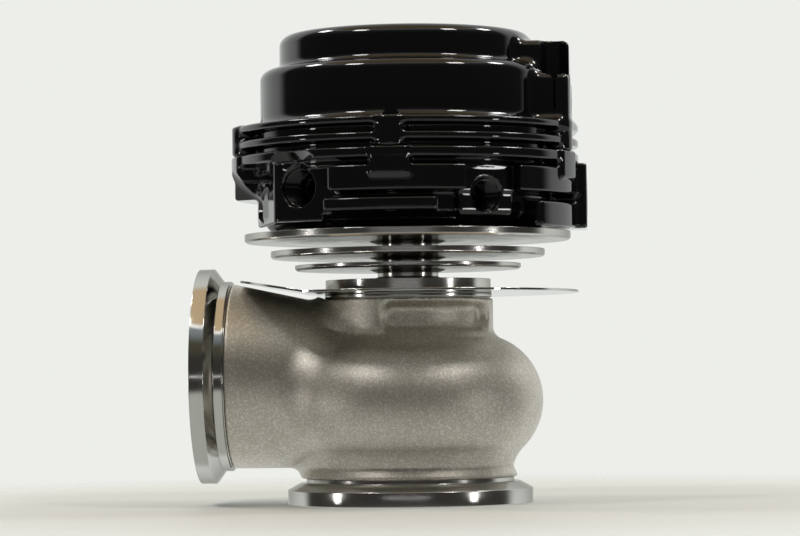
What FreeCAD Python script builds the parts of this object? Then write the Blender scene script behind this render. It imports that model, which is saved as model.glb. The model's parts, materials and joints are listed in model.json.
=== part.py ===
import FreeCAD, Part
import os
from math import atan2, cos, degrees, pi, radians, sin, sqrt, tan

# External wastegate, 44 mm class, for a turbocharged engine.  Millimetres, +Z up.
# The valve stem lies on the Z axis.  z = 0 is the lower face of the inlet V-band
# flange, and the outlet points along -X.  Angles round the stem are in degrees
# from +X, counter-clockwise as seen from above.

Vector = FreeCAD.Vector
CENTRE = Vector(0, 0, 0)
UP = Vector(0, 0, 1)

# ---------------------------------------------------------------- clearances
fit_gap = 0.02          # radial gap of a pressed or threaded fit
running_gap = 0.05      # radial gap of the stem in its guide
seat_gap = 0.15         # axial gap between valve face and seat when shut
lift_gap = 0.4          # space under the piston plate when the valve is shut
cut_margin = 1.0        # how far a cutter runs past the face it opens

# ---------------------------------------------------------------- inlet flange
inlet_rim_radius = 33.0
inlet_rim_height = 3.9
inlet_bevel_radius = 29.6
inlet_bevel_height = 1.85
inlet_groove_radius = 28.0
inlet_groove_height = 1.2
waist_collar_radius = 29.0
waist_radius = 27.7
waist_top_z = 9.9

# ---------------------------------------------------------------- valve chamber
chamber_ring_radius = 18.2      # centre circle of the bulge
chamber_section_radius = 17.8   # outside radius of the bulge's section
chamber_z = 27.5
cast_wall = 3.0
waist_fillet = 3.0
neck_fillet = 2.2

# ---------------------------------------------------------------- neck
neck_radius = 22.8
neck_cast_top_z = 54.7
neck_groove_radius = 22.0
neck_groove_height = 0.4
neck_ring_height = 1.0
neck_ring_radius = 22.5
neck_bore_radius = 17.5
pocket_depth = 2.8
pocket_height = 7.0
pocket_below_top = 1.4          # cast metal left above the pocket
pocket_start_angle = 18.0             # degrees from +X, on both sides
pocket_end_angle = 105.0

# ---------------------------------------------------------------- outlet
outlet_z = 34.6
outlet_face_x = 56.2
outlet_rim_radius = 29.0
outlet_rim_width = 3.8
outlet_bevel_width = 2.3
outlet_bevel_radius = 25.8
outlet_collar_radius = 25.6
outlet_collar_width = 2.3
outlet_groove_width = 0.3
outlet_groove_depth = 1.0
outlet_tube_radius = 24.9
outlet_bore_radius = 22.0
outlet_inner_x = 8.0            # where the tube has run into the chamber
outlet_inner_radius = 20.6
outlet_fillet = 3.5

# ---------------------------------------------------------------- valve and seat
seat_ring_radius = 25.0
seat_ring_height = 8.8
seat_ring_recess = 0.2
seat_bore_radius = 20.0
seat_lead_radius = 22.6
valve_head_radius = 22.0
valve_margin = 1.4
valve_face_width = 2.0          # radial width of the 45 degree face
stem_radius = 4.0
stem_thread_radius = 3.0
stem_thread_length = 12.0
valve_tulip_radius = 9.0
valve_back_rise = 1.2           # slope of the head's back, from rim to tulip

# ---------------------------------------------------------------- heat shield
shield_radius = 45.9
shield_thickness = 0.6
wing_fold_x = 24.8
wing_cut_x = 44.6
wing_angle = 10.0

# ---------------------------------------------------------------- finned bonnet
bonnet_base_radius = 22.3
bonnet_base_height = 3.3
bonnet_spigot_length = 10.0
bonnet_hub_radius = 8.2
fin_radii = (30.5, 37.0, 44.0)
fin_thickness = (1.4, 1.9, 2.1)
fin_gap = (2.7, 1.9, 2.5)       # free height under each fin
fin_bevel = 0.5
bonnet_thread_radius = 15.0
bonnet_web_radius = 10.5        # foot of the hub where it meets a fin
bonnet_web_height = 0.8
guide_radius = 6.0
guide_end_gap = 1.5             # guide stops this far above the spigot's end
seal_pocket_radius = 9.0
seal_height = 3.2
retainer_height = 1.2
retainer_hole_radius = 5.0
retainer_recess = 1.8           # below the top of the bonnet's threaded neck
seal_lip = 0.8                  # bevel at the foot of the seal

# ---------------------------------------------------------------- actuator
cover_height = 2.6
cover_edge = 0.4                # metal outside the groove of the outer seal's middle
cover_flare = 4.3               # how far the housing's wall stands out from the cover's foot
housing_cone_height = 1.7        # the cover's cone carried on up the housing
jacket_inner_radius = 23.0
jacket_outer_radius = 33.8
jacket_depth = 1.6              # channel in the cover
jacket_roof_depth = 1.4         # and in the floor of the housing above it
seal_section_radius = 0.8
seal_side_gap = 0.24
inner_seal_inset = 3.8          # middle of the inner seal, inside the channel
outer_seal_outset = 1.8         # middle of the outer seal, outside the channel
housing_floor = 3.1
lock_ring_radius = 21.0
lock_ring_height = 2.1
lock_slot_width = 3.0
lock_slot_depth = 2.0
air_chamber_radius = 31.5
housing_height = 18.1
ring_fin = 4.4                  # depth of the grooves between the finned flanges
ring_root_step = 1.7            # bottom of those grooves, outside the housing's wall
top_fin_height = 2.8
top_groove_height = 1.8
belt_height = 6.7               # plain belt under the groove
belt_start_angle = -118.5
belt_end_angle = 196.0
drain_pad_start_angle = -115.0
drain_pad_end_angle = -76.0
drain_pad_height = 3.4
return_pad_start_angle = -38.0
return_pad_end_angle = 6.0
return_pad_height = 6.5
pad_corner = 1.6

# ---------------------------------------------------------------- bolt lugs
lug_count = 5
first_lug_angle = -92.0
bolt_inset = 3.4                # screws, inside the outside of the flanges
lug_reach = 4.4                 # end of a lug, outside the screw circle
lug_half_width = 5.2
lug_height = 7.3
lug_corner = 1.5
cap_lug_overhang = 0.2          # the cap's round lugs, outside the housing's
screw_radius = 2.0
screw_hole_radius = 2.2
screw_head_radius = 3.5
screw_head_height = 4.0
screw_head_recess = 0.2
screw_socket_flats = 3.0
screw_socket_depth = 2.2
counterbore_radius = 3.7
screw_length = 9.5              # below the head

# ---------------------------------------------------------------- ports
air_block_angle = -119.0
air_block_step = 0.2            # its face, outside the housing's wall
air_block_left = -15.4          # across its face, seen from outside, + is right
air_block_right = -0.3
air_port_offset = -7.8
air_block_foot = 2.0            # above the underside of the jacket cover
side_facet_angle = -164.0
air_port_drop = 9.5             # below the top face of the housing
large_port_radius = 4.9
small_port_radius = 4.1
bleed_port_radius = 2.5
bleed_port_drop = 14.8
bleed_port_depth = 5.0
port_depth = 8.0
air_drilling_radius = 2.5       # from the air port into the air chamber
coolant_drilling_radius = 1.5
port_chamfer = 0.6
front_block_angle = -57.0
front_block_step = 1.5
front_block_half_width = 8.1
front_block_bottom_drop = 18.2
front_block_corner = 2.2
front_port_drop = 12.5
side_block_step = 8.3
side_block_half_width = 7.8
side_block_bottom_drop = 20.2
side_block_top_drop = 2.8
side_block_corner = 1.2
side_port_drop = 11.5
block_inner_distance = 33.0

# ---------------------------------------------------------------- diaphragm and piston
diaphragm_thickness = 0.9
diaphragm_rim_height = 1.0
diaphragm_rim_inner = 33.4
diaphragm_rim_outer = 38.6
diaphragm_crown_radius = 30.9
piston_plate_radius = 26.5
piston_plate_height = 1.6
spring_cup_radius = 27.8
spring_cup_base = 2.3
spring_cup_wall = 1.5
spring_cup_height = 6.0
spring_boss_radius = 14.2
spring_boss_wall = 3.0
spring_boss_height = 2.6
washer_radius = 7.0
washer_height = 1.0
nut_flats = 10.0
nut_height = 5.0

# ---------------------------------------------------------------- springs
outer_spring_radius = 24.0
outer_spring_wire = 3.2
outer_spring_turns = 5.5
inner_spring_radius = 16.3
inner_spring_wire = 2.4
inner_spring_turns = 6.5
spring_steps = 16               # straight lengths in each turn
spring_sides = 8                # sides of the wire's section

# ---------------------------------------------------------------- top cap
cap_flange_height = 7.9
cap_split_height = 1.7
cap_lower_fin = 2.1
cap_groove = 2.2
drum_inset = 7.0                # the drum's wall, inside the outside of the flanges
drum_height = 15.6              # above the flange
drum_round = 2.9
drum_foot_fillet = 2.7
dome_inset = 5.3                # the dome's wall, inside the drum's
dome_height = 9.4               # above the drum
dome_round = 3.0
dome_foot_fillet = 2.0
cap_wall = 4.4
cap_roof = 3.4
cap_block_inset = 2.0           # the block's face, inside the outside of the flanges
cap_block_half_width = 18.8
cap_block_top_drop = 2.9        # below the top of the drum
cap_block_upper_half_width = 16.2
cap_block_upper_drop = 3.3      # below the top of the dome
cap_block_round = 2.0
cap_port_height = 6.8           # above the cap flange

# ---------------------------------------------------------------- radii out from the jacket
inner_seal_radius = jacket_inner_radius - inner_seal_inset
outer_seal_radius = jacket_outer_radius + outer_seal_outset
cover_foot_radius = outer_seal_radius + cover_edge
housing_wall_radius = cover_foot_radius + cover_flare
ring_root_radius = housing_wall_radius + ring_root_step
ring_radius = ring_root_radius + ring_fin
bolt_circle = ring_radius - bolt_inset
lug_radius = bolt_circle + lug_reach
cap_lug_radius = lug_reach + cap_lug_overhang
drum_radius = ring_radius - drum_inset
dome_radius = drum_radius - dome_inset
cap_block_face_x = ring_radius - cap_block_inset
air_block_distance = housing_wall_radius + air_block_step
front_block_distance = housing_wall_radius + front_block_step
side_block_distance = housing_wall_radius + side_block_step

# ---------------------------------------------------------------- levels up the stem
neck_top_z = neck_cast_top_z + neck_groove_height + neck_ring_height
shield_top_z = neck_top_z + shield_thickness
fins_top_z = shield_top_z + bonnet_base_height + sum(fin_gap) + sum(fin_thickness)
cover_z = fins_top_z
floor_z = cover_z + cover_height
floor_top_z = floor_z + housing_floor
split_z = floor_z + housing_height
cap_flange_z = split_z + cap_flange_height
drum_top_z = cap_flange_z + drum_height
dome_top_z = drum_top_z + dome_height
ceiling_z = dome_top_z - cap_roof
plate_z = floor_top_z + lift_gap
disc_z = plate_z + piston_plate_height
cup_z = disc_z + diaphragm_thickness
spring_z = cup_z + spring_cup_base
seat_top_z = seat_ring_recess + seat_ring_height
seal_pocket_z = floor_top_z - seal_height - retainer_height - retainer_recess
cone_slope = (housing_wall_radius - cover_foot_radius) / (cover_height + housing_cone_height)
cover_rim_radius = cover_foot_radius + cone_slope * cover_height


def disc(radius, bottom, top, x=0.0, y=0.0):
    """Upright cylinder between two levels."""
    return Part.makeCylinder(radius, top - bottom, Vector(x, y, bottom), UP)


def ring(outer, inner, bottom, top):
    """Upright tube between two levels."""
    bore = disc(inner, bottom - cut_margin, top + cut_margin)
    return disc(outer, bottom, top).cut(bore)


def lathe(start, *steps):
    """Solid turned about Z.  A step is a point (r, z), or a pair of points for an arc."""
    edges = []
    here = Vector(start[0], 0, start[1])
    for step in steps + (start,):
        if isinstance(step[0], tuple):
            middle = Vector(step[0][0], 0, step[0][1])
            there = Vector(step[1][0], 0, step[1][1])
            edges.append(Part.Arc(here, middle, there).toShape())
        else:
            there = Vector(step[0], 0, step[1])
            if there.isEqual(here, 1e-7):
                continue
            edges.append(Part.makeLine(here, there))
        here = there
    return Part.Face(Part.Wire(edges)).revolve(CENTRE, UP, 360)


def bulge(centre, radius, start, end):
    """Arc step of a circle about `centre`, between two angles in degrees from +r."""
    middle = radians((start + end) / 2)
    last = radians(end)
    points = []
    for angle in (middle, last):
        points.append((centre[0] + radius * cos(angle), centre[1] + radius * sin(angle)))
    return tuple(points)


def turned_to(shape, angle):
    """Copy of a shape turned about the stem."""
    copy = shape.copy()
    copy.rotate(CENTRE, UP, angle)
    return copy


def wedge(start, end, reach, bottom, top):
    """Sector of a disc between two angles, less than 180 degrees apart."""
    corners = [Vector(0, 0, bottom)]
    steps = 4
    for index in range(steps + 1):
        angle = radians(start + (end - start) * index / steps)
        corners.append(Vector(reach * cos(angle), reach * sin(angle), bottom))
    corners.append(corners[0])
    return Part.Face(Part.makePolygon(corners)).extrude(Vector(0, 0, top - bottom))


def upright_edges(shape):
    """Straight edges of a shape that run along Z."""
    found = []
    for edge in shape.Edges:
        if edge.Curve.TypeId != "Part::GeomLine":
            continue
        if abs(edge.tangentAt(edge.FirstParameter).z) > 0.999:
            found.append(edge)
    return found


def bar_edges(shape, direction):
    """Straight edges of a shape that run along a direction."""
    found = []
    for edge in shape.Edges:
        if edge.Curve.TypeId != "Part::GeomLine":
            continue
        if abs(edge.tangentAt(edge.FirstParameter).dot(direction)) > 0.999:
            found.append(edge)
    return found


def radial_hole(angle, distance, offset, z, radius, depth):
    """Drilled port with a chamfered mouth, pointing inwards from a flat at `distance`."""
    drill = Part.makeCylinder(radius, depth + cut_margin,
                              Vector(distance - depth, offset, z), Vector(1, 0, 0))
    mouth = Part.makeCone(radius, radius + port_chamfer + cut_margin, port_chamfer + cut_margin,
                          Vector(distance - port_chamfer, offset, z), Vector(1, 0, 0))
    return turned_to(drill.fuse(mouth), angle)


def outlet_turned(shape):
    """Turns a shape made along +Z so that it lies along the outlet's axis."""
    copy = shape.copy()
    copy.rotate(CENTRE, Vector(0, 1, 0), -90)
    copy.translate(Vector(0, 0, outlet_z))
    return copy


def tunnel(sections):
    """Loft along -X through ellipses given as (x, half width, half height, centre z)."""
    wires = []
    for x, half_width, half_height, middle in sections:
        if abs(half_width - half_height) < 1e-6:
            curve = Part.Circle(Vector(-x, 0, middle), Vector(-1, 0, 0), half_width)
            edge = curve.toShape()
        else:
            side = Vector(-x, half_width, middle)
            top = Vector(-x, 0, middle + half_height)
            edge = Part.Ellipse(side, top, Vector(-x, 0, middle)).toShape()
        wires.append(Part.Wire([edge]))
    return Part.makeLoft(wires, True, True)


# ---------------------------------------------------------------- valve body

def chamber_half_angle(section_radius, radius):
    """Angle from +r at which the chamber's section circle reaches a given radius."""
    rise = sqrt(section_radius ** 2 - (radius - chamber_ring_radius) ** 2)
    return degrees(atan2(rise, radius - chamber_ring_radius))


def circles_at(shape, level):
    """Circular edges that lie flat at one level."""
    found = []
    for edge in shape.Edges:
        if edge.Curve.TypeId == "Part::GeomCircle" and abs(edge.Curve.Center.z - level) < 0.01:
            found.append(edge)
    return found


def cast_turned_body():
    """Inlet flange, waist, bulged chamber and neck, turned in one piece."""
    flange_top = inlet_rim_height + inlet_bevel_height
    groove_top = flange_top + inlet_groove_height
    lower = chamber_half_angle(chamber_section_radius, waist_radius)
    upper = chamber_half_angle(chamber_section_radius, neck_radius)
    section = chamber_section_radius
    chamber_foot = chamber_z - section * sin(radians(lower))
    chamber_head = chamber_z + section * sin(radians(upper))
    groove_z = neck_cast_top_z + neck_groove_height
    body = lathe(
        (0, 0),
        (inlet_rim_radius, 0),
        (inlet_rim_radius, inlet_rim_height),
        (inlet_bevel_radius, flange_top),
        (inlet_groove_radius, flange_top),
        (inlet_groove_radius, groove_top),
        (waist_collar_radius, groove_top),
        (waist_radius, waist_top_z),
        (waist_radius, chamber_foot),
        bulge((chamber_ring_radius, chamber_z), section, -lower, upper),
        (neck_radius, neck_cast_top_z),
        (neck_groove_radius, neck_cast_top_z),
        (neck_groove_radius, groove_z),
        (neck_ring_radius, groove_z),
        (neck_ring_radius, neck_top_z),
        (0, neck_top_z))
    body = body.makeFillet(waist_fillet, circles_at(body, chamber_foot))
    return body.makeFillet(neck_fillet, circles_at(body, chamber_head))


def outlet_flange():
    """V-band flange, collar and groove of the outlet, turned about its own axis."""
    bevel_end = outlet_face_x - outlet_rim_width - outlet_bevel_width
    collar_end = bevel_end - outlet_collar_width
    groove_end = collar_end - outlet_groove_width
    groove_radius = outlet_collar_radius - outlet_groove_depth
    shape = lathe(
        (0, groove_end - cut_margin),
        (groove_radius, groove_end - cut_margin),
        (groove_radius, collar_end),
        (outlet_collar_radius, collar_end),
        (outlet_collar_radius, bevel_end),
        (outlet_bevel_radius, bevel_end),
        (outlet_rim_radius, outlet_face_x - outlet_rim_width),
        (outlet_rim_radius, outlet_face_x),
        (0, outlet_face_x))
    return outlet_turned(shape)


def outlet_tube_end_x():
    """Distance from the stem at which the cast tube meets the machined collar."""
    widths = outlet_rim_width + outlet_bevel_width + outlet_collar_width + outlet_groove_width
    return outlet_face_x - widths


def outlet_tube():
    """Cast tube that tapers from the collar into the chamber, its underside level."""
    start = outlet_tube_end_x()
    drop = outlet_tube_radius - outlet_inner_radius
    return tunnel([
        (start, outlet_tube_radius, outlet_tube_radius, outlet_z),
        (outlet_inner_x, outlet_inner_radius, outlet_inner_radius, outlet_z - drop)])


def neck_pocket():
    """Shallow cast recess with round ends in the front of the neck."""
    top = neck_cast_top_z - pocket_below_top
    bottom = top - pocket_height
    middle = (top + bottom) / 2
    end_radius = pocket_height / 2
    end_turn = degrees(end_radius / neck_radius)
    reach = neck_radius + neck_fillet + cut_margin
    plan = wedge(pocket_start_angle + end_turn, pocket_end_angle - end_turn, reach, bottom, top)
    for angle in (pocket_start_angle + end_turn, pocket_end_angle - end_turn):
        end = Part.makeCylinder(end_radius, reach, Vector(0, 0, middle), Vector(1, 0, 0))
        plan = plan.fuse(turned_to(end, angle))
    return plan.common(ring(reach, neck_radius - pocket_depth, bottom, top))


def valve_passage():
    """Room inside the body: seat bore, round chamber, neck bore and outlet."""
    inner = chamber_section_radius - cast_wall
    shoulder = seat_ring_radius - cast_wall / 2
    low = chamber_half_angle(inner, shoulder)
    roof_z = chamber_z + inner
    foot_z = chamber_z - inner * sin(radians(low))
    room = lathe(
        (0, -cut_margin),
        (seat_ring_radius + fit_gap, -cut_margin),
        (seat_ring_radius + fit_gap, seat_top_z),
        (shoulder, seat_top_z),
        (shoulder, foot_z),
        bulge((chamber_ring_radius, chamber_z), inner, -low, 90),
        (neck_bore_radius, roof_z),
        (neck_bore_radius, neck_top_z + cut_margin),
        (0, neck_top_z + cut_margin))
    duct = tunnel([
        (outlet_face_x + cut_margin, outlet_bore_radius, outlet_bore_radius, outlet_z),
        (outlet_tube_end_x(), outlet_bore_radius, outlet_bore_radius, outlet_z)])
    throat = tunnel([
        (outlet_tube_end_x(), outlet_bore_radius, outlet_bore_radius, outlet_z),
        (chamber_ring_radius, outlet_bore_radius - cast_wall, inner, chamber_z)])
    return room.fuse([duct, throat])


def valve_housing():
    body = cast_turned_body().fuse(outlet_tube())
    body = body.fuse(outlet_flange())
    pocket = neck_pocket()
    body = body.cut(pocket)
    body = body.cut(pocket.mirror(CENTRE, Vector(0, 1, 0)))
    return body.cut(valve_passage()).removeSplitter()


def valve_seat():
    """Hardened ring pressed in from below, with a 45 degree seat at its top edge."""
    face_drop = seat_lead_radius - seat_bore_radius
    return lathe(
        (seat_bore_radius, seat_ring_recess),
        (seat_ring_radius, seat_ring_recess),
        (seat_ring_radius, seat_top_z),
        (seat_lead_radius, seat_top_z),
        (seat_bore_radius, seat_top_z - face_drop))


def valve():
    """Poppet: head with a 45 degree face, tulip, ground stem and threaded end."""
    inner_face = valve_head_radius - valve_face_width
    bore_level = seat_top_z - (seat_lead_radius - seat_bore_radius)
    face_z = bore_level + (inner_face - seat_bore_radius) + seat_gap
    rim_z = face_z + valve_face_width
    back_z = rim_z + valve_margin
    tulip = valve_tulip_radius
    tulip_z = back_z + valve_back_rise
    return lathe(
        (0, face_z),
        (inner_face, face_z),
        (valve_head_radius, rim_z),
        (valve_head_radius, back_z),
        (stem_radius + tulip, tulip_z),
        bulge((stem_radius + tulip, tulip_z + tulip), tulip, -90, -180),
        (stem_radius, plate_z),
        (stem_thread_radius, plate_z),
        (stem_thread_radius, plate_z + stem_thread_length),
        (0, plate_z + stem_thread_length))


# ---------------------------------------------------------------- shield and bonnet

def heat_shield():
    """Polished disc; its edge over the outlet is folded up and cut off straight."""
    flat = disc(shield_radius, neck_top_z, shield_top_z)
    side = 2 * shield_radius
    keep = Part.makeBox(side, side, side, Vector(-wing_fold_x, -shield_radius, neck_top_z - cut_margin))
    main = flat.common(keep)
    strip = Part.makeBox(wing_cut_x - wing_fold_x, side, side,
                         Vector(-wing_cut_x, -shield_radius, neck_top_z - cut_margin))
    wing = flat.common(strip)
    wing.rotate(Vector(-wing_fold_x, 0, neck_top_z), Vector(0, 1, 0), wing_angle)
    heel = shield_thickness * sin(radians(wing_angle))
    corner = Part.makeBox(heel, side, shield_thickness,
                          Vector(-wing_fold_x - heel, -shield_radius, neck_top_z))
    hole = disc(neck_bore_radius, neck_top_z - cut_margin, shield_top_z + cut_margin)
    blank = disc(shield_radius, neck_top_z - cut_margin, shield_top_z + side)
    folded = main.fuse(wing).fuse(corner.common(blank))
    return folded.removeSplitter().cut(hole)


def finned_bonnet():
    """Turned bonnet: spigot in the neck, three cooling fins, and the threaded neck above."""
    hub = bonnet_hub_radius
    spigot_z = neck_top_z - bonnet_spigot_length
    level = shield_top_z + bonnet_base_height
    outline = [
        (neck_bore_radius - fit_gap, spigot_z),
        (neck_bore_radius - fit_gap, shield_top_z),
        (bonnet_base_radius, shield_top_z),
        (bonnet_base_radius, level)]
    for radius, thickness, gap in zip(fin_radii, fin_thickness, fin_gap):
        outline.append((bonnet_web_radius, level))
        outline.append((hub, level + bonnet_web_height))
        level += gap
        outline.append((hub, level - bonnet_web_height))
        outline.append((bonnet_web_radius, level))
        outline.append((radius - fin_bevel, level))
        outline.append((radius, level + fin_bevel))
        outline.append((radius, level + thickness))
        level += thickness
    outline.append((bonnet_thread_radius, level))
    outline.append((bonnet_thread_radius, floor_top_z))
    outline.append((seal_pocket_radius, floor_top_z))
    outline.append((seal_pocket_radius, seal_pocket_z))
    outline.append((guide_radius + fit_gap, seal_pocket_z))
    outline.append((guide_radius + fit_gap, spigot_z))
    return lathe(*outline)


def valve_guide():
    """Bronze guide pressed into the bonnet, a running fit on the stem."""
    bottom = neck_top_z - bonnet_spigot_length + guide_end_gap
    return ring(guide_radius, stem_radius + running_gap, bottom, seal_pocket_z)


def stem_seal():
    bottom = seal_pocket_z
    return lathe(
        (stem_radius + running_gap, bottom + seal_lip),
        (stem_radius + running_gap + seal_lip, bottom),
        (seal_pocket_radius - fit_gap, bottom),
        (seal_pocket_radius - fit_gap, bottom + seal_height),
        (stem_radius + running_gap, bottom + seal_height))


def seal_retainer():
    bottom = seal_pocket_z + seal_height
    return ring(seal_pocket_radius - fit_gap, retainer_hole_radius, bottom, bottom + retainer_height)


# ---------------------------------------------------------------- actuator

def seal_groove(radius):
    """Square groove for one jacket seal, wider than the seal is thick."""
    half = seal_section_radius + seal_side_gap
    depth = 2 * seal_section_radius
    return ring(radius + half, radius - half, floor_z - depth, floor_z)


def jacket_cover():
    """Conical plate that closes the coolant channel from below, grooved for its two seals."""
    plate = lathe(
        (bonnet_thread_radius + fit_gap, cover_z),
        (cover_foot_radius, cover_z),
        (cover_rim_radius, floor_z),
        (bonnet_thread_radius + fit_gap, floor_z))
    plate = plate.cut(ring(jacket_outer_radius, jacket_inner_radius, floor_z - jacket_depth, floor_z))
    for radius in (inner_seal_radius, outer_seal_radius):
        plate = plate.cut(seal_groove(radius))
    return plate


def jacket_seal(radius):
    """Moulded ring with an eight-sided section, flat where it is squeezed."""
    section = seal_section_radius
    middle = floor_z - section
    flat = section * tan(pi / 8)
    corners = []
    for side, level in ((flat, section), (section, flat), (section, -flat), (flat, -section),
                        (-flat, -section), (-section, -flat), (-section, flat), (-flat, section)):
        corners.append((radius + side, middle + level))
    return lathe(*corners)


def rounded_sector(start, end, inner, outer, bottom, top, corner):
    """Pad on the wall of the housing, with rounded upright corners."""
    pad = ring(outer, inner, bottom, top).common(wedge(start, end, 2 * outer, bottom, top))
    outside = []
    for edge in upright_edges(pad):
        point = edge.valueAt(edge.FirstParameter)
        if sqrt(point.x ** 2 + point.y ** 2) > outer - 0.01:
            outside.append(edge)
    return pad.makeFillet(corner, outside)


def belt():
    """Plain belt round the housing, left open beside the air port block."""
    top = split_z - top_fin_height - top_groove_height
    bottom = top - belt_height
    band = ring(ring_radius, housing_wall_radius - cut_margin, bottom, top)
    gap = wedge(belt_end_angle, belt_start_angle + 360, 2 * ring_radius, bottom, top)
    return band.cut(gap)


def housing_lug():
    """Boss for one cap screw, squared off at the sides."""
    bottom = split_z - lug_height
    block = Part.makeBox(lug_radius, 2 * lug_half_width, lug_height,
                         Vector(block_inner_distance, -lug_half_width, bottom))
    block = block.common(disc(lug_radius, bottom, split_z))
    outside = []
    for edge in upright_edges(block):
        if edge.valueAt(edge.FirstParameter).x > bolt_circle:
            outside.append(edge)
    return block.makeFillet(lug_corner, outside)


def port_block(distance, half_width, bottom, top, corner):
    """Square block with its port face towards +X and rounded lower corners."""
    block = Part.makeBox(distance - block_inner_distance, 2 * half_width, top - bottom,
                         Vector(block_inner_distance, -half_width, bottom))
    lower = []
    for edge in bar_edges(block, Vector(1, 0, 0)):
        if edge.valueAt(edge.FirstParameter).z < bottom + 0.01:
            lower.append(edge)
    return block.makeFillet(corner, lower)


def air_block():
    """Five-sided block: the air port's face, and a long facet round to the first lug."""
    facing = radians(air_block_angle)
    out = Vector(cos(facing), sin(facing), 0)
    along = Vector(-sin(facing), cos(facing), 0)
    right = out * air_block_distance + along * air_block_right
    left = out * air_block_distance + along * air_block_left
    side = radians(side_facet_angle)
    side_out = Vector(cos(side), sin(side), 0)
    side_along = Vector(sin(side), -cos(side), 0)
    facet_distance = left.dot(side_out)
    run = sqrt(housing_wall_radius ** 2 - facet_distance ** 2)
    far = side_out * facet_distance + side_along * run
    inner = [side_out * air_chamber_radius, out * air_chamber_radius]
    corners = [right, left, far, inner[0], inner[1], right]
    bottom = cover_z + air_block_foot
    lifted = [Vector(p.x, p.y, bottom) for p in corners]
    return Part.Face(Part.makePolygon(lifted)).extrude(Vector(0, 0, split_z - bottom))


def side_facet_distance():
    facing = radians(air_block_angle - side_facet_angle)
    return air_block_distance * cos(facing) - air_block_left * sin(facing)


def air_drilling():
    """Drilling from the floor of the air port through into the air chamber."""
    start = air_chamber_radius - 2 * air_drilling_radius
    length = air_block_distance - port_depth - start
    drill = Part.makeCylinder(air_drilling_radius, length + cut_margin,
                              Vector(start, air_port_offset, split_z - air_port_drop),
                              Vector(1, 0, 0))
    return turned_to(drill, air_block_angle)


def front_facing():
    """Milled flat that cuts the belt back to the face of the front port block."""
    bottom = split_z - front_block_bottom_drop - cut_margin
    top = split_z - top_fin_height - top_groove_height
    depth = ring_radius - front_block_distance + cut_margin
    cutter = Part.makeBox(depth, 2 * front_block_half_width, top - bottom,
                          Vector(front_block_distance, -front_block_half_width, bottom))
    return turned_to(cutter, front_block_angle)


def coolant_drilling(angle, distance, z):
    """Small drilling from the floor of a coolant port, inwards and down to the channel."""
    radius = coolant_drilling_radius
    foot = jacket_outer_radius - radius - fit_gap
    inward = Part.makeCylinder(radius, distance - foot, Vector(foot, 0, z), Vector(1, 0, 0))
    down = disc(radius, floor_z - cut_margin, z, x=foot)
    return turned_to(inward.fuse(down), angle)


def actuator_housing():
    """Aluminium housing: finned flange, belt, pads, port blocks, lugs and air chamber."""
    top_fin_z = split_z - top_fin_height
    belt_top = top_fin_z - top_groove_height
    shell = lathe(
        (0, floor_z),
        (cover_rim_radius, floor_z),
        (housing_wall_radius, floor_z + housing_cone_height),
        (housing_wall_radius, belt_top),
        (ring_root_radius, belt_top),
        (ring_root_radius, top_fin_z),
        (ring_radius, top_fin_z),
        (ring_radius, split_z),
        (0, split_z))
    pad_z = floor_z + housing_cone_height
    return_z = split_z - side_block_bottom_drop
    parts = [belt(), air_block()]
    parts.append(rounded_sector(drain_pad_start_angle, drain_pad_end_angle, housing_wall_radius - cut_margin,
                                ring_radius, pad_z, pad_z + drain_pad_height, pad_corner))
    parts.append(rounded_sector(return_pad_start_angle, return_pad_end_angle, housing_wall_radius - cut_margin,
                                ring_radius, return_z, return_z + return_pad_height, pad_corner))
    front = port_block(front_block_distance, front_block_half_width,
                       split_z - front_block_bottom_drop, belt_top, front_block_corner)
    parts.append(turned_to(front, front_block_angle))
    parts.append(port_block(side_block_distance, side_block_half_width, return_z,
                            split_z - side_block_top_drop, side_block_corner))
    for index in range(lug_count):
        parts.append(turned_to(housing_lug(), first_lug_angle + 360 / lug_count * index))
    housing = shell.fuse(parts).removeSplitter()
    room = lathe(
        (0, floor_z - cut_margin),
        (bonnet_thread_radius + fit_gap, floor_z - cut_margin),
        (bonnet_thread_radius + fit_gap, floor_top_z - lock_ring_height),
        (lock_ring_radius + fit_gap, floor_top_z - lock_ring_height),
        (lock_ring_radius + fit_gap, floor_top_z),
        (air_chamber_radius, floor_top_z),
        (air_chamber_radius, split_z - diaphragm_rim_height),
        (diaphragm_rim_outer + fit_gap, split_z - diaphragm_rim_height),
        (diaphragm_rim_outer + fit_gap, split_z + cut_margin),
        (0, split_z + cut_margin))
    under = lathe(
        (0, cover_z - cut_margin),
        (cover_foot_radius + fit_gap, cover_z - cut_margin),
        (cover_foot_radius + fit_gap, cover_z),
        (cover_rim_radius + fit_gap, floor_z),
        (0, floor_z))
    jacket = ring(jacket_outer_radius, jacket_inner_radius, floor_z - cut_margin,
                  floor_z + jacket_roof_depth)
    tools = [room, under, jacket, front_facing()]
    tools.append(radial_hole(air_block_angle, air_block_distance, air_port_offset,
                             split_z - air_port_drop, large_port_radius, port_depth))
    tools.append(air_drilling())
    tools.append(radial_hole(side_facet_angle, side_facet_distance(), 0,
                             split_z - bleed_port_drop, bleed_port_radius, bleed_port_depth))
    tools.append(radial_hole(front_block_angle, front_block_distance, 0,
                             split_z - front_port_drop, small_port_radius, port_depth))
    tools.append(radial_hole(0, side_block_distance, 0,
                             split_z - side_port_drop, large_port_radius, port_depth))
    tools.append(coolant_drilling(front_block_angle, front_block_distance, split_z - front_port_drop))
    tools.append(coolant_drilling(0, side_block_distance, split_z - side_port_drop))
    for index in range(lug_count):
        hole = disc(screw_radius + fit_gap, split_z - lug_height - cut_margin,
                    split_z + cut_margin, x=bolt_circle)
        tools.append(turned_to(hole, first_lug_angle + 360 / lug_count * index))
    return housing.cut(tools)


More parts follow.
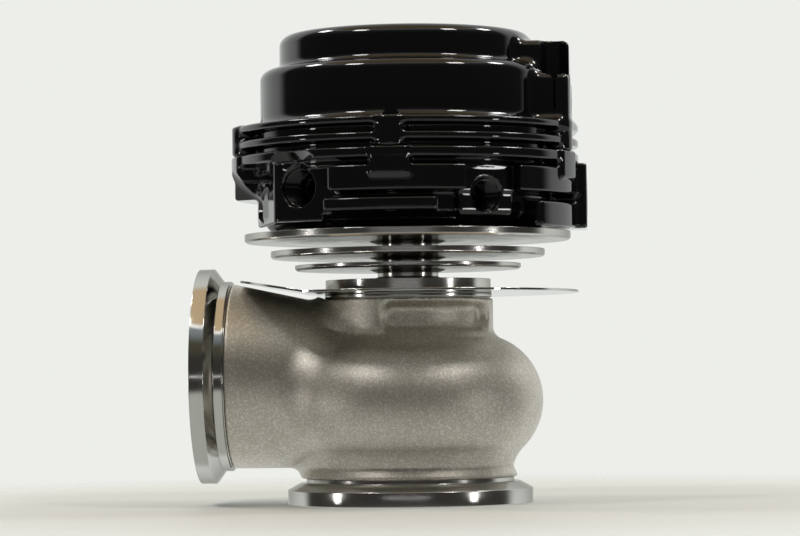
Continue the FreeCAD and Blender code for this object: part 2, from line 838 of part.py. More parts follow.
def bonnet_lock_ring():
    """Slotted ring nut that clamps the actuator down on the bonnet."""
    bottom = floor_top_z - lock_ring_height
    nut = ring(lock_ring_radius, bonnet_thread_radius + fit_gap, bottom, floor_top_z)
    slots = []
    for index in range(4):
        slot = Part.makeBox(lock_slot_depth + cut_margin, lock_slot_width, lock_ring_height,
                            Vector(lock_ring_radius - lock_slot_depth, -lock_slot_width / 2, bottom))
        slots.append(turned_to(slot, 90 * index))
    return nut.cut(slots)


def diaphragm():
    """Rolling diaphragm: clamped rim, hanging wall, and the disc the piston grips."""
    rim_z = split_z - diaphragm_rim_height
    thick = diaphragm_thickness
    hole = stem_thread_radius + fit_gap
    return lathe(
        (hole, disc_z),
        (spring_cup_radius + thick, disc_z),
        (diaphragm_crown_radius, rim_z - thick),
        (diaphragm_crown_radius, rim_z),
        (diaphragm_rim_outer, rim_z),
        (diaphragm_rim_outer, split_z),
        (diaphragm_crown_radius - thick, split_z),
        (spring_cup_radius + thick / 2, cup_z + spring_cup_base),
        (spring_cup_radius + thick / 4, cup_z),
        (hole, cup_z))


def lower_piston():
    return ring(piston_plate_radius, stem_thread_radius + fit_gap, plate_z, disc_z)


def upper_piston():
    """Spring cup on top of the diaphragm, with a boss that centres the inner spring."""
    inner = spring_cup_radius - spring_cup_wall
    return lathe(
        (stem_thread_radius + fit_gap, cup_z),
        (spring_cup_radius, cup_z),
        (spring_cup_radius, cup_z + spring_cup_height),
        (inner, cup_z + spring_cup_height),
        (inner, spring_z),
        (spring_boss_radius, spring_z),
        (spring_boss_radius, spring_z + spring_boss_height),
        (spring_boss_radius - spring_boss_wall, spring_z + spring_boss_height),
        (spring_boss_radius - spring_boss_wall, spring_z),
        (stem_thread_radius + fit_gap, spring_z))


def piston_washer():
    return ring(washer_radius, stem_thread_radius + fit_gap, spring_z, spring_z + washer_height)


def hexagon(flats, bottom, top):
    """Upright hexagonal prism, measured across its flats."""
    corner = flats / sqrt(3)
    points = []
    for index in range(7):
        angle = radians(60 * index)
        points.append(Vector(corner * cos(angle), corner * sin(angle), bottom))
    return Part.Face(Part.makePolygon(points)).extrude(Vector(0, 0, top - bottom))


def piston_nut():
    bottom = spring_z + washer_height
    nut = hexagon(nut_flats, bottom, bottom + nut_height)
    cone = Part.makeCone(nut_flats, nut_flats / 2, nut_flats * 0.5,
                         Vector(0, 0, bottom + nut_height - nut_flats * 0.5), UP)
    thread = disc(stem_thread_radius + fit_gap, bottom - cut_margin, bottom + nut_height + cut_margin)
    return nut.common(cone.fuse(disc(nut_flats, bottom, bottom + 0.1))).cut(thread)


def spring(radius, wire, turns):
    """Helical spring between the piston and the roof of the cap, its ends ground flat."""
    bury = 0.25 * wire
    start = spring_z + bury
    rise = ceiling_z - bury - start
    stations = round(turns * spring_steps)
    loops = []
    for station in range(stations + 1):
        part = station / stations
        turn = 2 * pi * turns * part
        out = Vector(cos(turn), sin(turn), 0)
        middle = out * radius + Vector(0, 0, start + rise * part)
        corners = []
        for index in range(spring_sides + 1):
            angle = 2 * pi * (index + 0.5) / spring_sides
            corners.append(middle + out * (wire / 2 * cos(angle)) + UP * (wire / 2 * sin(angle)))
        loops.append(Part.makePolygon(corners))
    coil = Part.makeLoft(loops, True, True)
    return coil.common(ring(radius + wire, radius - wire, spring_z, ceiling_z))


# ---------------------------------------------------------------- top cap

def top_cap():
    """Cap: finned flange, drum, dome, port block, screw pockets and spring room."""
    lower_fin_z = split_z + cap_split_height
    groove_z = lower_fin_z + cap_lower_fin
    upper_fin_z = groove_z + cap_groove
    foot = drum_foot_fillet
    drum = drum_radius
    dome = dome_radius
    shape = lathe(
        (0, split_z),
        (ring_root_radius, split_z),
        (ring_root_radius, lower_fin_z),
        (ring_radius, lower_fin_z),
        (ring_radius, groove_z),
        (ring_root_radius, groove_z),
        (ring_root_radius, upper_fin_z),
        (ring_radius, upper_fin_z),
        (ring_radius, cap_flange_z),
        (drum + foot, cap_flange_z),
        bulge((drum + foot, cap_flange_z + foot), foot, -90, -180),
        (drum, drum_top_z - drum_round),
        bulge((drum - drum_round, drum_top_z - drum_round), drum_round, 0, 90),
        (dome + dome_foot_fillet, drum_top_z),
        bulge((dome + dome_foot_fillet, drum_top_z + dome_foot_fillet), dome_foot_fillet, -90, -180),
        (dome, dome_top_z - dome_round),
        bulge((dome - dome_round, dome_top_z - dome_round), dome_round, 0, 90),
        (0, dome_top_z))
    lower_top = drum_top_z - cap_block_top_drop
    upper_top = dome_top_z - cap_block_upper_drop
    parts = []
    for half_width, bottom, top in ((cap_block_half_width, cap_flange_z, lower_top),
                                    (cap_block_upper_half_width, cap_flange_z, upper_top)):
        block = Part.makeBox(cap_block_face_x, 2 * half_width, top - bottom,
                             Vector(0, -half_width, bottom))
        rounded = []
        for edge in block.Edges:
            middle = (edge.valueAt(edge.FirstParameter) + edge.valueAt(edge.LastParameter)) * 0.5
            outer_corner = middle.x > cap_block_face_x - 0.01 and middle.z > bottom + 0.01
            upper_side = middle.z > top - 0.01 and abs(middle.y) > half_width - 0.01
            if outer_corner or upper_side:
                rounded.append(edge)
        parts.append(block.makeFillet(cap_block_round, rounded))
    for index in range(lug_count):
        lug = disc(cap_lug_radius, split_z, cap_flange_z, x=bolt_circle)
        parts.append(turned_to(lug, first_lug_angle + 360 / lug_count * index))
    cap = shape.fuse(parts).removeSplitter()
    drum_room_z = drum_top_z - cap_wall
    room = lathe(
        (0, split_z - cut_margin),
        (drum - cap_wall, split_z - cut_margin),
        (drum - cap_wall, drum_room_z),
        (dome - cap_wall, drum_room_z),
        (dome - cap_wall, ceiling_z),
        (0, ceiling_z))
    tools = [room]
    head_z = cap_flange_z - screw_head_recess - screw_head_height
    for index in range(lug_count):
        hole = disc(screw_hole_radius, split_z - cut_margin, head_z + cut_margin, x=bolt_circle)
        pocket = disc(counterbore_radius, head_z, dome_top_z + cut_margin, x=bolt_circle)
        tools.append(turned_to(hole.fuse(pocket), first_lug_angle + 360 / lug_count * index))
    tools.append(radial_hole(0, cap_block_face_x, 0, cap_flange_z + cap_port_height,
                             large_port_radius, cap_block_face_x - drum + cap_wall + cut_margin))
    return cap.cut(tools)


def cap_screws():
    """Socket head screws that hold cap and housing together."""
    head_top = cap_flange_z - screw_head_recess
    head_z = head_top - screw_head_height
    screws = []
    for index in range(lug_count):
        head = disc(screw_head_radius, head_z, head_top)
        shank = disc(screw_radius, head_z - screw_length, head_z)
        socket = hexagon(screw_socket_flats, head_top - screw_socket_depth, head_top)
        screw = head.fuse(shank).cut(socket)
        screw.translate(Vector(bolt_circle, 0, 0))
        screws.append(turned_to(screw, first_lug_angle + 360 / lug_count * index))
    return Part.makeCompound(screws)


# ---------------------------------------------------------------- output

nodes = {
    "valve_housing": valve_housing(),
    "valve_seat": valve_seat(),
    "valve": valve(),
    "heat_shield": heat_shield(),
    "finned_bonnet": finned_bonnet(),
    "valve_guide": valve_guide(),
    "stem_seal": stem_seal(),
    "seal_retainer": seal_retainer(),
    "jacket_cover": jacket_cover(),
    "jacket_seal_inner": jacket_seal(inner_seal_radius),
    "jacket_seal_outer": jacket_seal(outer_seal_radius),
    "actuator_housing": actuator_housing(),
    "bonnet_lock_ring": bonnet_lock_ring(),
    "diaphragm": diaphragm(),
    "lower_piston": lower_piston(),
    "upper_piston": upper_piston(),
    "piston_washer": piston_washer(),
    "piston_nut": piston_nut(),
    "outer_spring": spring(outer_spring_radius, outer_spring_wire, outer_spring_turns),
    "inner_spring": spring(inner_spring_radius, inner_spring_wire, inner_spring_turns),
    "top_cap": top_cap(),
    "cap_screws": cap_screws(),
}

os.makedirs("parts", exist_ok=True)
for name, shape in nodes.items():
    shape.exportStep("parts/" + name + ".step")
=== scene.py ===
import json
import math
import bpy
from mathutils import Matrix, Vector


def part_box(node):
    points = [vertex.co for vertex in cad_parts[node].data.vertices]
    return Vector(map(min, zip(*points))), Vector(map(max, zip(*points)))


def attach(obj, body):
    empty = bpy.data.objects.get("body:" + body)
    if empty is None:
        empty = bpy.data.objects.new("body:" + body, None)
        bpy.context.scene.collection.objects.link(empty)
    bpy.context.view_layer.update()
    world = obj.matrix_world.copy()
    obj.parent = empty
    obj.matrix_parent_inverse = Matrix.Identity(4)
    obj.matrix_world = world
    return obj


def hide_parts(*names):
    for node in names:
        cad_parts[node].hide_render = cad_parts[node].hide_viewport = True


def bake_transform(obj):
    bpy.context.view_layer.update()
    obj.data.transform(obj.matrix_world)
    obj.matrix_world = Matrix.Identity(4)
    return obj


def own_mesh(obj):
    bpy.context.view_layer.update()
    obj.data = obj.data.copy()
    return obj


bl_info = {
    "name": "Turbo Wastegate",
    "version": (1, 0, 0),
    "blender": (4, 5, 0),
    "location": "View3D > Sidebar > Wastegate",
    "description": "Casting, actuator, flanges, threads, springs, finishes and stage",
    "category": "Object",
}

import bmesh
import bpy
import numpy as np
from mathutils import Matrix, Vector

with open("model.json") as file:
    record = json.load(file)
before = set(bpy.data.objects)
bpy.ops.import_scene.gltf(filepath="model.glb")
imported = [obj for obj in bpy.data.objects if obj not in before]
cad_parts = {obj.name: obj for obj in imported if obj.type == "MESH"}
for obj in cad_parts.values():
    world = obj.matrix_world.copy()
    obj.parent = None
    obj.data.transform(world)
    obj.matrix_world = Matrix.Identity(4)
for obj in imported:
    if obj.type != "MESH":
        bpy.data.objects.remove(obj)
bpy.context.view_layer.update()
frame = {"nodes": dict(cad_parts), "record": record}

MM = 0.001
BODY = "wastegate_body"

LENGTH = {"unit": "LENGTH", "subtype": "DISTANCE"}
COLOUR = {"size": 3, "min": 0.0, "max": 1.0, "subtype": "COLOR"}
ANGLE = {"unit": "ROTATION", "subtype": "ANGLE"}


# ---------------------------------------------------------------- settings

class CastBodySettings(bpy.types.PropertyGroup):
    """Sizes of the cast valve body."""

    grid_step: bpy.props.FloatProperty(
        name="Grid step", description="Spacing of the grid that the casting's surface is found on",
        default=0.6 * MM, min=0.3 * MM, **LENGTH)
    tube_fillet: bpy.props.FloatProperty(
        name="Tube fillet", description="Fillet where the outlet tube meets the chamber and neck",
        default=5.0 * MM, **LENGTH)
    neck_fillet: bpy.props.FloatProperty(
        name="Neck fillet", description="Fillet between the chamber and the neck",
        default=2.2 * MM, **LENGTH)
    waist_fillet: bpy.props.FloatProperty(
        name="Waist fillet", description="Fillet between the waist and the chamber",
        default=3.0 * MM, **LENGTH)
    chamber_ring: bpy.props.FloatProperty(
        name="Chamber ring", description="Radius of the circle that the chamber's section follows",
        default=18.2 * MM, **LENGTH)
    chamber_section: bpy.props.FloatProperty(
        name="Chamber section", description="Outside radius of the chamber's round section",
        default=17.8 * MM, **LENGTH)
    chamber_height: bpy.props.FloatProperty(
        name="Chamber height", description="Level of the middle of the chamber",
        default=27.5 * MM, **LENGTH)
    waist_radius: bpy.props.FloatProperty(
        name="Waist radius", description="Radius of the waist under the chamber",
        default=27.7 * MM, **LENGTH)
    neck_radius: bpy.props.FloatProperty(
        name="Neck radius", description="Radius of the cast neck over the chamber",
        default=22.8 * MM, **LENGTH)
    neck_top: bpy.props.FloatProperty(
        name="Neck top", description="Level at which the casting gives way to the machined ring",
        default=54.7 * MM, **LENGTH)
    waist_foot: bpy.props.FloatProperty(
        name="Waist foot", description="Level at which the casting meets the machined inlet flange",
        default=6.95 * MM, **LENGTH)
    tube_radius: bpy.props.FloatProperty(
        name="Tube radius", description="Outside radius of the outlet tube at its flange",
        default=24.9 * MM, **LENGTH)
    tube_inner_radius: bpy.props.FloatProperty(
        name="Tube root radius", description="Outside radius of the outlet tube inside the chamber",
        default=20.6 * MM, **LENGTH)
    tube_height: bpy.props.FloatProperty(
        name="Tube height", description="Level of the outlet's axis",
        default=34.6 * MM, **LENGTH)
    tube_end: bpy.props.FloatProperty(
        name="Tube end", description="Distance from the stem to the end of the cast tube",
        default=47.5 * MM, **LENGTH)
    tube_root: bpy.props.FloatProperty(
        name="Tube root", description="Distance from the stem to the inner end of the cast tube",
        default=8.0 * MM, **LENGTH)
    pocket_depth: bpy.props.FloatProperty(
        name="Pocket depth", description="Depth of the long recess cast into the neck",
        default=2.8 * MM, **LENGTH)
    pocket_height: bpy.props.FloatProperty(
        name="Pocket height", description="Height of the long recess cast into the neck",
        default=7.0 * MM, **LENGTH)
    end_round: bpy.props.FloatProperty(
        name="End rounding", description="Radius left where the casting meets its machined flanges",
        default=0.7 * MM, **LENGTH)
    wall: bpy.props.FloatProperty(
        name="Wall", description="Thickness of the cast wall",
        default=3.0 * MM, **LENGTH)


class ActuatorSettings(bpy.types.PropertyGroup):
    """Sizes of the rounded actuator housing and cap."""

    grid_step: bpy.props.FloatProperty(
        name="Grid step", description="Spacing of the grid that the two surfaces are found on",
        default=0.45 * MM, min=0.3 * MM, **LENGTH)
    lip_round: bpy.props.FloatProperty(
        name="Lip rounding", description="Radius left on the lips of the flanges and belt",
        default=0.75 * MM, **LENGTH)
    edge_round: bpy.props.FloatProperty(
        name="Edge rounding", description="Radius left on the edges of the blocks, pads and lugs",
        default=0.7 * MM, **LENGTH)
    fillet: bpy.props.FloatProperty(
        name="Fillet", description="Fillet at the foot of the blocks, pads and lugs",
        default=1.2 * MM, **LENGTH)
    cap_fillet: bpy.props.FloatProperty(
        name="Cap fillet", description="Fillet where the cap's port block leaves the drum and dome",
        default=2.4 * MM, **LENGTH)


class TurnedSettings(bpy.types.PropertyGroup):
    """Sizes of the machined flanges."""

    edge_round: bpy.props.FloatProperty(
        name="Edge rounding", description="Radius left on the edges of the turned flanges",
        default=0.18 * MM, **LENGTH)
    segments: bpy.props.IntProperty(
        name="Segments", description="Number of straight sides round a turned piece",
        default=160, min=24)


class ThreadSettings(bpy.types.PropertyGroup):
    """Threads cut in the ports."""

    pipe_pitch: bpy.props.FloatProperty(
        name="Pipe thread pitch", description="Pitch of the tapered pipe threads",
        default=0.94 * MM, **LENGTH)
    small_pitch: bpy.props.FloatProperty(
        name="Small thread pitch", description="Pitch of the small machine thread",
        default=0.8 * MM, **LENGTH)
    depth: bpy.props.FloatProperty(
        name="Thread depth", description="How far a thread's crest stands in from its hole's wall",
        default=0.38 * MM, **LENGTH)


class SpringSettings(bpy.types.PropertyGroup):
    """The two valve springs and the diaphragm."""

    outer_radius: bpy.props.FloatProperty(
        name="Outer coil radius", description="Radius of the outer spring's coil",
        default=24.0 * MM, **LENGTH)
    outer_wire: bpy.props.FloatProperty(
        name="Outer wire", description="Thickness of the outer spring's wire",
        default=3.2 * MM, **LENGTH)
    outer_turns: bpy.props.FloatProperty(
        name="Outer turns", description="Number of turns of the outer spring", default=5.5)
    inner_radius: bpy.props.FloatProperty(
        name="Inner coil radius", description="Radius of the inner spring's coil",
        default=16.3 * MM, **LENGTH)
    inner_wire: bpy.props.FloatProperty(
        name="Inner wire", description="Thickness of the inner spring's wire",
        default=2.4 * MM, **LENGTH)
    inner_turns: bpy.props.FloatProperty(
        name="Inner turns", description="Number of turns of the inner spring", default=6.5)
    cloth_thickness: bpy.props.FloatProperty(
        name="Diaphragm thickness", description="Thickness of the diaphragm's coated cloth",
        default=0.9 * MM, **LENGTH)


class FinishSettings(bpy.types.PropertyGroup):
    """Colours and surfaces of the materials."""

    cast_colour: bpy.props.FloatVectorProperty(
        name="Cast steel", description="Colour of the blasted casting",
        default=(0.67, 0.62, 0.535), **COLOUR)
    steel_colour: bpy.props.FloatVectorProperty(
        name="Turned steel", description="Colour of the turned and polished steel",
        default=(0.62, 0.61, 0.585), **COLOUR)
    anodise_colour: bpy.props.FloatVectorProperty(
        name="Black anodising", description="Colour of the black anodised aluminium",
        default=(0.004, 0.004, 0.005), **COLOUR)
    bronze_colour: bpy.props.FloatVectorProperty(
        name="Guide bronze", description="Colour of the bronze valve guide",
        default=(0.55, 0.34, 0.15), **COLOUR)
    cloth_colour: bpy.props.FloatVectorProperty(
        name="Diaphragm cloth", description="Colour of the diaphragm's coated cloth",
        default=(0.24, 0.05, 0.03), **COLOUR)
    grain_size: bpy.props.FloatProperty(
        name="Blast grain", description="Size of the pits that blasting leaves on the casting",
        default=0.36 * MM, **LENGTH)
    edge_radius: bpy.props.FloatProperty(
        name="Edge radius", description="Rounding shown on the edges of machined parts",
        default=0.25 * MM, **LENGTH)


class StageSettings(bpy.types.PropertyGroup):
    """Floor, lamps and camera."""

    background: bpy.props.FloatVectorProperty(
        name="Background", description="Colour of the pale background",
        default=(0.845, 0.855, 0.82), **COLOUR)
    floor_colour: bpy.props.FloatVectorProperty(
        name="Floor", description="Colour of the floor",
        default=(0.70, 0.71, 0.685), **COLOUR)
    room_level: bpy.props.FloatProperty(
        name="Room level", description="Brightness of the room round the object",
        default=0.045, min=0.0)
    screen_level: bpy.props.FloatProperty(
        name="Screen level", description="Brightness of the pale screen behind the object",
        default=0.9, min=0.0)
    lamp_power: bpy.props.FloatProperty(
        name="Lamp power", description="Power of each soft lamp",
        default=1.4, min=0.0, unit="POWER")
    camera_distance: bpy.props.FloatProperty(
        name="Camera distance", description="Distance from the stem to the camera",
        default=0.857, **LENGTH)
    camera_azimuth: bpy.props.FloatProperty(
        name="Camera azimuth", description="Angle of the camera round the object",
        default=math.radians(3.7), **ANGLE)
    camera_height: bpy.props.FloatProperty(
        name="Camera height", description="Height of the camera over the floor",
        default=34.7 * MM, **LENGTH)
    camera_tilt: bpy.props.FloatProperty(
        name="Camera tilt", description="Upward tilt of the camera",
        default=math.radians(1.91), **ANGLE)
    camera_pan: bpy.props.FloatProperty(
        name="Camera pan", description="Turn of the camera to the left of the stem",
        default=math.radians(0.144), **ANGLE)
    camera_roll: bpy.props.FloatProperty(
        name="Camera roll", description="Lean of the camera to the right",
        default=math.radians(0.70), **ANGLE)
    lens: bpy.props.FloatProperty(
        name="Lens", description="Focal length of the camera in millimetres", default=142.9)


# ---------------------------------------------------------------- mesh helpers

UP = Vector((0, 0, 1))
STRAIGHT = math.radians(176)
TRIM_SHARE = 0.45
TURNED_CREASE = math.radians(30)


def make_object(name, vertices, faces, crease=math.radians(38)):
    """New mesh object in metres, smooth except along edges sharper than the crease angle."""
    mesh = bpy.data.meshes.new(name)
    mesh.from_pydata([tuple(v) for v in vertices], [], [tuple(f) for f in faces])
    mesh.validate()
    mesh.shade_smooth()
    if crease is not None:
        mesh.set_sharp_from_angle(angle=crease)
    piece = bpy.data.objects.new(name, mesh)
    bpy.context.scene.collection.objects.link(piece)
    return piece


def outward(piece):
    """Turns every face of a closed mesh outwards."""
    sheet = bmesh.new()
    sheet.from_mesh(piece.data)
    bmesh.ops.recalc_face_normals(sheet, faces=sheet.faces)
    sheet.to_mesh(piece.data)
    sheet.free()


def rounded_outline(corners, radius, steps=3):
    """Closed (r, z) outline with each corner rounded, where its sides are long enough."""
    outline = []
    count = len(corners)
    for index, corner in enumerate(corners):
        here = np.array(corner, float)
        before = np.array(corners[index - 1], float) - here
        after = np.array(corners[(index + 1) % count], float) - here
        before_length = np.linalg.norm(before)
        after_length = np.linalg.norm(after)
        before = before / before_length
        after = after / after_length
        turn = math.acos(float(np.clip(before @ after, -1, 1)))
        if turn > STRAIGHT:
            outline.append(tuple(here))
            continue
        trim = min(radius / math.tan(turn / 2), TRIM_SHARE * min(before_length, after_length))
        for step in range(steps + 1):
            part = step / steps
            first = here + before * trim * (1 - part)
            last = here + after * trim * part
            outline.append(tuple(first * (1 - part) + last * part))
    return outline


def turned_object(name, outline, segments, place=Matrix.Identity(4)):
    """Turns a closed (r, z) outline in metres about Z, then puts it in place."""
    vertices = []
    faces = []
    count = len(outline)
    for turn in range(segments):
        angle = 2 * math.pi * turn / segments
        following = (turn + 1) % segments
        for index, (radius, level) in enumerate(outline):
            after = (index + 1) % count
            out = Vector((radius * math.cos(angle), radius * math.sin(angle), level))
            vertices.append(place @ out)
            faces.append((turn * count + index, following * count + index,
                          following * count + after, turn * count + after))
    piece = make_object(name, vertices, faces, TURNED_CREASE)
    outward(piece)
    return piece


def along(origin, axis):
    """Matrix that carries the origin and +Z to a point and a direction."""
    turn = UP.rotation_difference(Vector(axis)).to_matrix().to_4x4()
    return Matrix.Translation(Vector(origin)) @ turn


def helix(radius, turns, steps, level, place=Matrix.Identity(4)):
    """Centres, outward and upward directions of the stations along a helix."""
    centres, outs, ups = [], [], []
    turn_matrix = place.to_3x3()
    for station in range(steps + 1):
        part = station / steps
        angle = 2 * math.pi * turns * part
        out = Vector((math.cos(angle), math.sin(angle), 0))
        centres.append(place @ (out * radius + Vector((0, 0, level(part)))))
        outs.append(turn_matrix @ out)
        ups.append(turn_matrix @ UP)
    return centres, outs, ups


def sweep(name, stations, section):
    """Mesh with closed ends, swept along stations as helix gives them."""
    vertices = []
    faces = []
    count = len(section)
    for station, (centre, out, up) in enumerate(zip(*stations)):
        for index, (a, b) in enumerate(section):
            vertices.append(centre + out * a + up * b)
            if station:
                after = (index + 1) % count
                faces.append(((station - 1) * count + index, (station - 1) * count + after,
                              station * count + after, station * count + index))
    last = len(vertices) - count
    faces.append(tuple(range(count - 1, -1, -1)))
    faces.append(tuple(range(last, last + count)))
    piece = make_object(name, vertices, faces)
    outward(piece)
    return piece


def dress(piece, body, slot, material=None):
    """Lets a piece ride on a body and gives it its material, which is the one named by the slot
    unless another is given.
    """
    piece.data.materials.clear()
    piece.data.materials.append(finish_named(material or slot))
    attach(piece, body)


# ---------------------------------------------------------------- smooth skins

PULLS = 2
PULL_REACH = 0.02 * MM


def round_union(a, b, radius):
    """Union of two distance fields with a round fillet between them."""
    u = np.maximum(radius - a, 0)
    v = np.maximum(radius - b, 0)
    return np.maximum(radius, np.minimum(a, b)) - np.hypot(u, v)


def meet(a, b, radius=0.15):
    """What two distance fields share, with a rounded edge between them."""
    return -round_union(-a, -b, radius)


def skin_mesh(field, low, high, step):
    """Quads on the zero level of a field, one point in each grid cell that it crosses."""
    axes = [np.arange(low[i], high[i] + step, step) for i in range(3)]
    grid = np.meshgrid(*axes, indexing="ij")
    value = field(*grid)
    inside = value < 0
    shape = np.array(value.shape) - 1
    corner_sets = [(i, j, k) for i in (0, 1) for j in (0, 1) for k in (0, 1)]

    def shifted(array, corner):
        i, j, k = corner
        return array[i:i + shape[0], j:j + shape[1], k:k + shape[2]]

    filled = sum(shifted(inside, c).astype(np.int8) for c in corner_sets)
    active = (filled > 0) & (filled < len(corner_sets))
    total = np.zeros(tuple(shape) + (3,))
    hits = np.zeros(tuple(shape))
    for a in corner_sets:
        for axis in range(3):
            if a[axis]:
                continue
            b = list(a)
            b[axis] = 1
            va, vb = shifted(value, a), shifted(value, tuple(b))
            crossed = active & ((va < 0) != (vb < 0))
            share = np.where(crossed, va / np.where(crossed, va - vb, 1), 0)
            for other in range(3):
                offset = share if other == axis else a[other]
                total[..., other] += np.where(crossed, offset, 0)
            hits += crossed
    number = -np.ones(tuple(shape), int)
    cells = np.argwhere(active)
    number[active] = np.arange(len(cells))
    points = cells + total[active] / hits[active][:, None]
    points = np.array(low) + points * step
    faces = []
    for axis in range(3):
        u, v = (axis + 1) % 3, (axis + 2) % 3
        first = [slice(1, -1)] * 3
        second = [slice(1, -1)] * 3
        first[axis] = slice(0, -1)
        second[axis] = slice(1, None)
        a, b = inside[tuple(first)], inside[tuple(second)]
        for start_inside in (True, False):
            base = np.argwhere((a == start_inside) & (b != start_inside))
            base[:, u] += 1
            base[:, v] += 1
            ring = []
            for du, dv in ((0, 0), (-1, 0), (-1, -1), (0, -1)):
                cell = base.copy()
                cell[:, u] += du
                cell[:, v] += dv
                ring.append(number[cell[:, 0], cell[:, 1], cell[:, 2]])
            faces.append(np.stack(ring if start_inside else ring[::-1], axis=1))
    return points, np.concatenate(faces)


def slopes(field, points, reach):
    """Unit normals of a field at some points."""
    rows = []
    for axis in range(3):
        shift = np.zeros(3)
        shift[axis] = reach
        rows.append(field(*(points + shift).T) - field(*(points - shift).T))
    normal = np.stack(rows, axis=1)
    return normal / np.maximum(np.linalg.norm(normal, axis=1), 1e-12)[:, None]


def skin_piece(name, node, slot, field, low, high, step, normal_reach):
    """Forms a field's skin inside a box, smooths it, and lets it replace a CAD part."""
    low, high = np.array(low), np.array(high)
    points, faces = skin_mesh(field, low - 2 * step, high + 2 * step, step)
    if not len(points):
        raise RuntimeError("no surface was found for " + name)
    for _ in range(PULLS):
        normals = slopes(field, points, PULL_REACH)
        gap = np.clip(field(*points.T), -step, step)
        points = points - normals * gap[:, None]
    points = np.clip(points, low, high)
    piece = make_object(name, points, faces, crease=None)
    outward(piece)
    normals = slopes(field, points, normal_reach)
    piece.data.normals_split_custom_set_from_vertices(normals.tolist())
    dress(piece, BODY, slot)
    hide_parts(node)


# ---------------------------------------------------------------- cast body

FLARE_TOP, FLARE_WIDTH = 9.9 * MM, 1.3 * MM
CROWN_START, CROWN_SLOPE = 1.5 * MM, 0.35
POCKET_START, POCKET_END = math.radians(18), math.radians(105)
POCKET_MARGIN, POCKET_LIP, POCKET_CORNER = 1.4 * MM, 1.8 * MM, 2.4 * MM
SEAT_BORE, SEAT_BORE_TOP = 25.1 * MM, 9.0 * MM
SHOULDER_RADIUS, SHOULDER_FILLET = 23.5 * MM, 2.0 * MM
NECK_BORE, OUTLET_BORE = 17.5 * MM, 22.0 * MM
DUCT_LAP, DUCT_FILLET = 4 * MM, 2.5 * MM


def chamber_field(r, z, size, section):
    """Distance to the chamber: a round section carried round the stem."""
    return np.hypot(np.maximum(r - size.chamber_ring, 0), z - size.chamber_height) - section


def casting_field(x, y, z, size):
    """Distance to the skin of the cast body, negative inside the metal."""
    r = np.hypot(x, y)
    flare = np.clip((FLARE_TOP - z) / (FLARE_TOP - size.waist_foot), 0, 1) * FLARE_WIDTH
    waist = np.maximum(r - size.waist_radius - flare, z - size.chamber_height)
    neck = np.maximum(r - size.neck_radius, size.chamber_height - z)
    part = (size.tube_end + x) / (size.tube_end - size.tube_root)
    drop = (size.tube_radius - size.tube_inner_radius) * part
    tube = np.hypot(y, z - size.tube_height + drop) - size.tube_radius + drop
    tube = np.maximum(tube, x + size.tube_root)
    skin = round_union(chamber_field(r, z, size, size.chamber_section), waist, size.waist_fillet)
    skin = round_union(skin, neck, size.neck_fillet)
    skin = round_union(skin, tube, size.tube_fillet)
    skin = meet(skin, -pocket_field(r, np.arctan2(np.abs(y), x), z, size), POCKET_LIP)
    over_tube = CROWN_SLOPE * np.maximum(-x - size.neck_radius + CROWN_START, 0)
    skin = np.maximum(skin, z - size.neck_top - over_tube)
    skin = meet(skin, size.waist_foot - z, size.end_round)
    skin = meet(skin, -size.tube_end - x, size.end_round)
    return np.maximum(skin, -passage_field(x, y, z, r, size))


def pocket_field(r, angle, z, size):
    """Distance to the long recess with round ends on each side of the neck."""
    half_height = size.pocket_height / 2
    middle = size.neck_top - POCKET_MARGIN - half_height
    half_run = (POCKET_END - POCKET_START) / 2 * size.neck_radius - half_height
    around = np.abs(angle - (POCKET_START + POCKET_END) / 2) * size.neck_radius
    outline = np.hypot(np.maximum(around - half_run, 0), z - middle) - half_height
    return meet(outline, size.neck_radius - size.pocket_depth - r, POCKET_CORNER)


def passage_field(x, y, z, r, size):
    """Distance to the gas passage: seat bore, chamber, neck bore and outlet duct."""
    inner = size.chamber_section - size.wall
    shoulder = np.maximum(r - SHOULDER_RADIUS, z - size.chamber_height)
    room = round_union(chamber_field(r, z, size, inner), shoulder, SHOULDER_FILLET)
    bore = np.maximum(r - SEAT_BORE, z - SEAT_BORE_TOP)
    neck = np.maximum(r - NECK_BORE, size.chamber_height - z)
    part = np.clip((size.tube_end + x) / (size.tube_end - size.chamber_ring), 0, 1)
    half_width = OUTLET_BORE - size.wall * part
    half_height = OUTLET_BORE + (inner - OUTLET_BORE) * part
    level = size.tube_height + (size.chamber_height - size.tube_height) * part
    duct = np.hypot(y / half_width, (z - level) / half_height) - 1
    duct = np.maximum(duct * np.minimum(half_width, half_height), x + size.chamber_ring - DUCT_LAP)
    room = round_union(room, duct, DUCT_FILLET)
    return np.minimum(np.minimum(room, bore), neck)


class WASTEGATE_OT_cast_body(bpy.types.Operator):
    """Builds the cast body with its fillets, recess and gas passage"""

    bl_idname = "wastegate.cast_body"
    bl_label = "Cast body"

    def execute(self, context):
        size = context.scene.wastegate_cast
        reach = size.chamber_ring + size.chamber_section
        skin_piece("cast_body", "valve_housing", "cast_stainless",
                   lambda x, y, z: casting_field(x, y, z, size),
                   (-size.tube_end, -reach, size.waist_foot),
                   (reach, reach, size.tube_height + size.tube_radius), size.grid_step, 0.06 * MM)
        return {"FINISHED"}


# ---------------------------------------------------------------- actuator, in mm and degrees

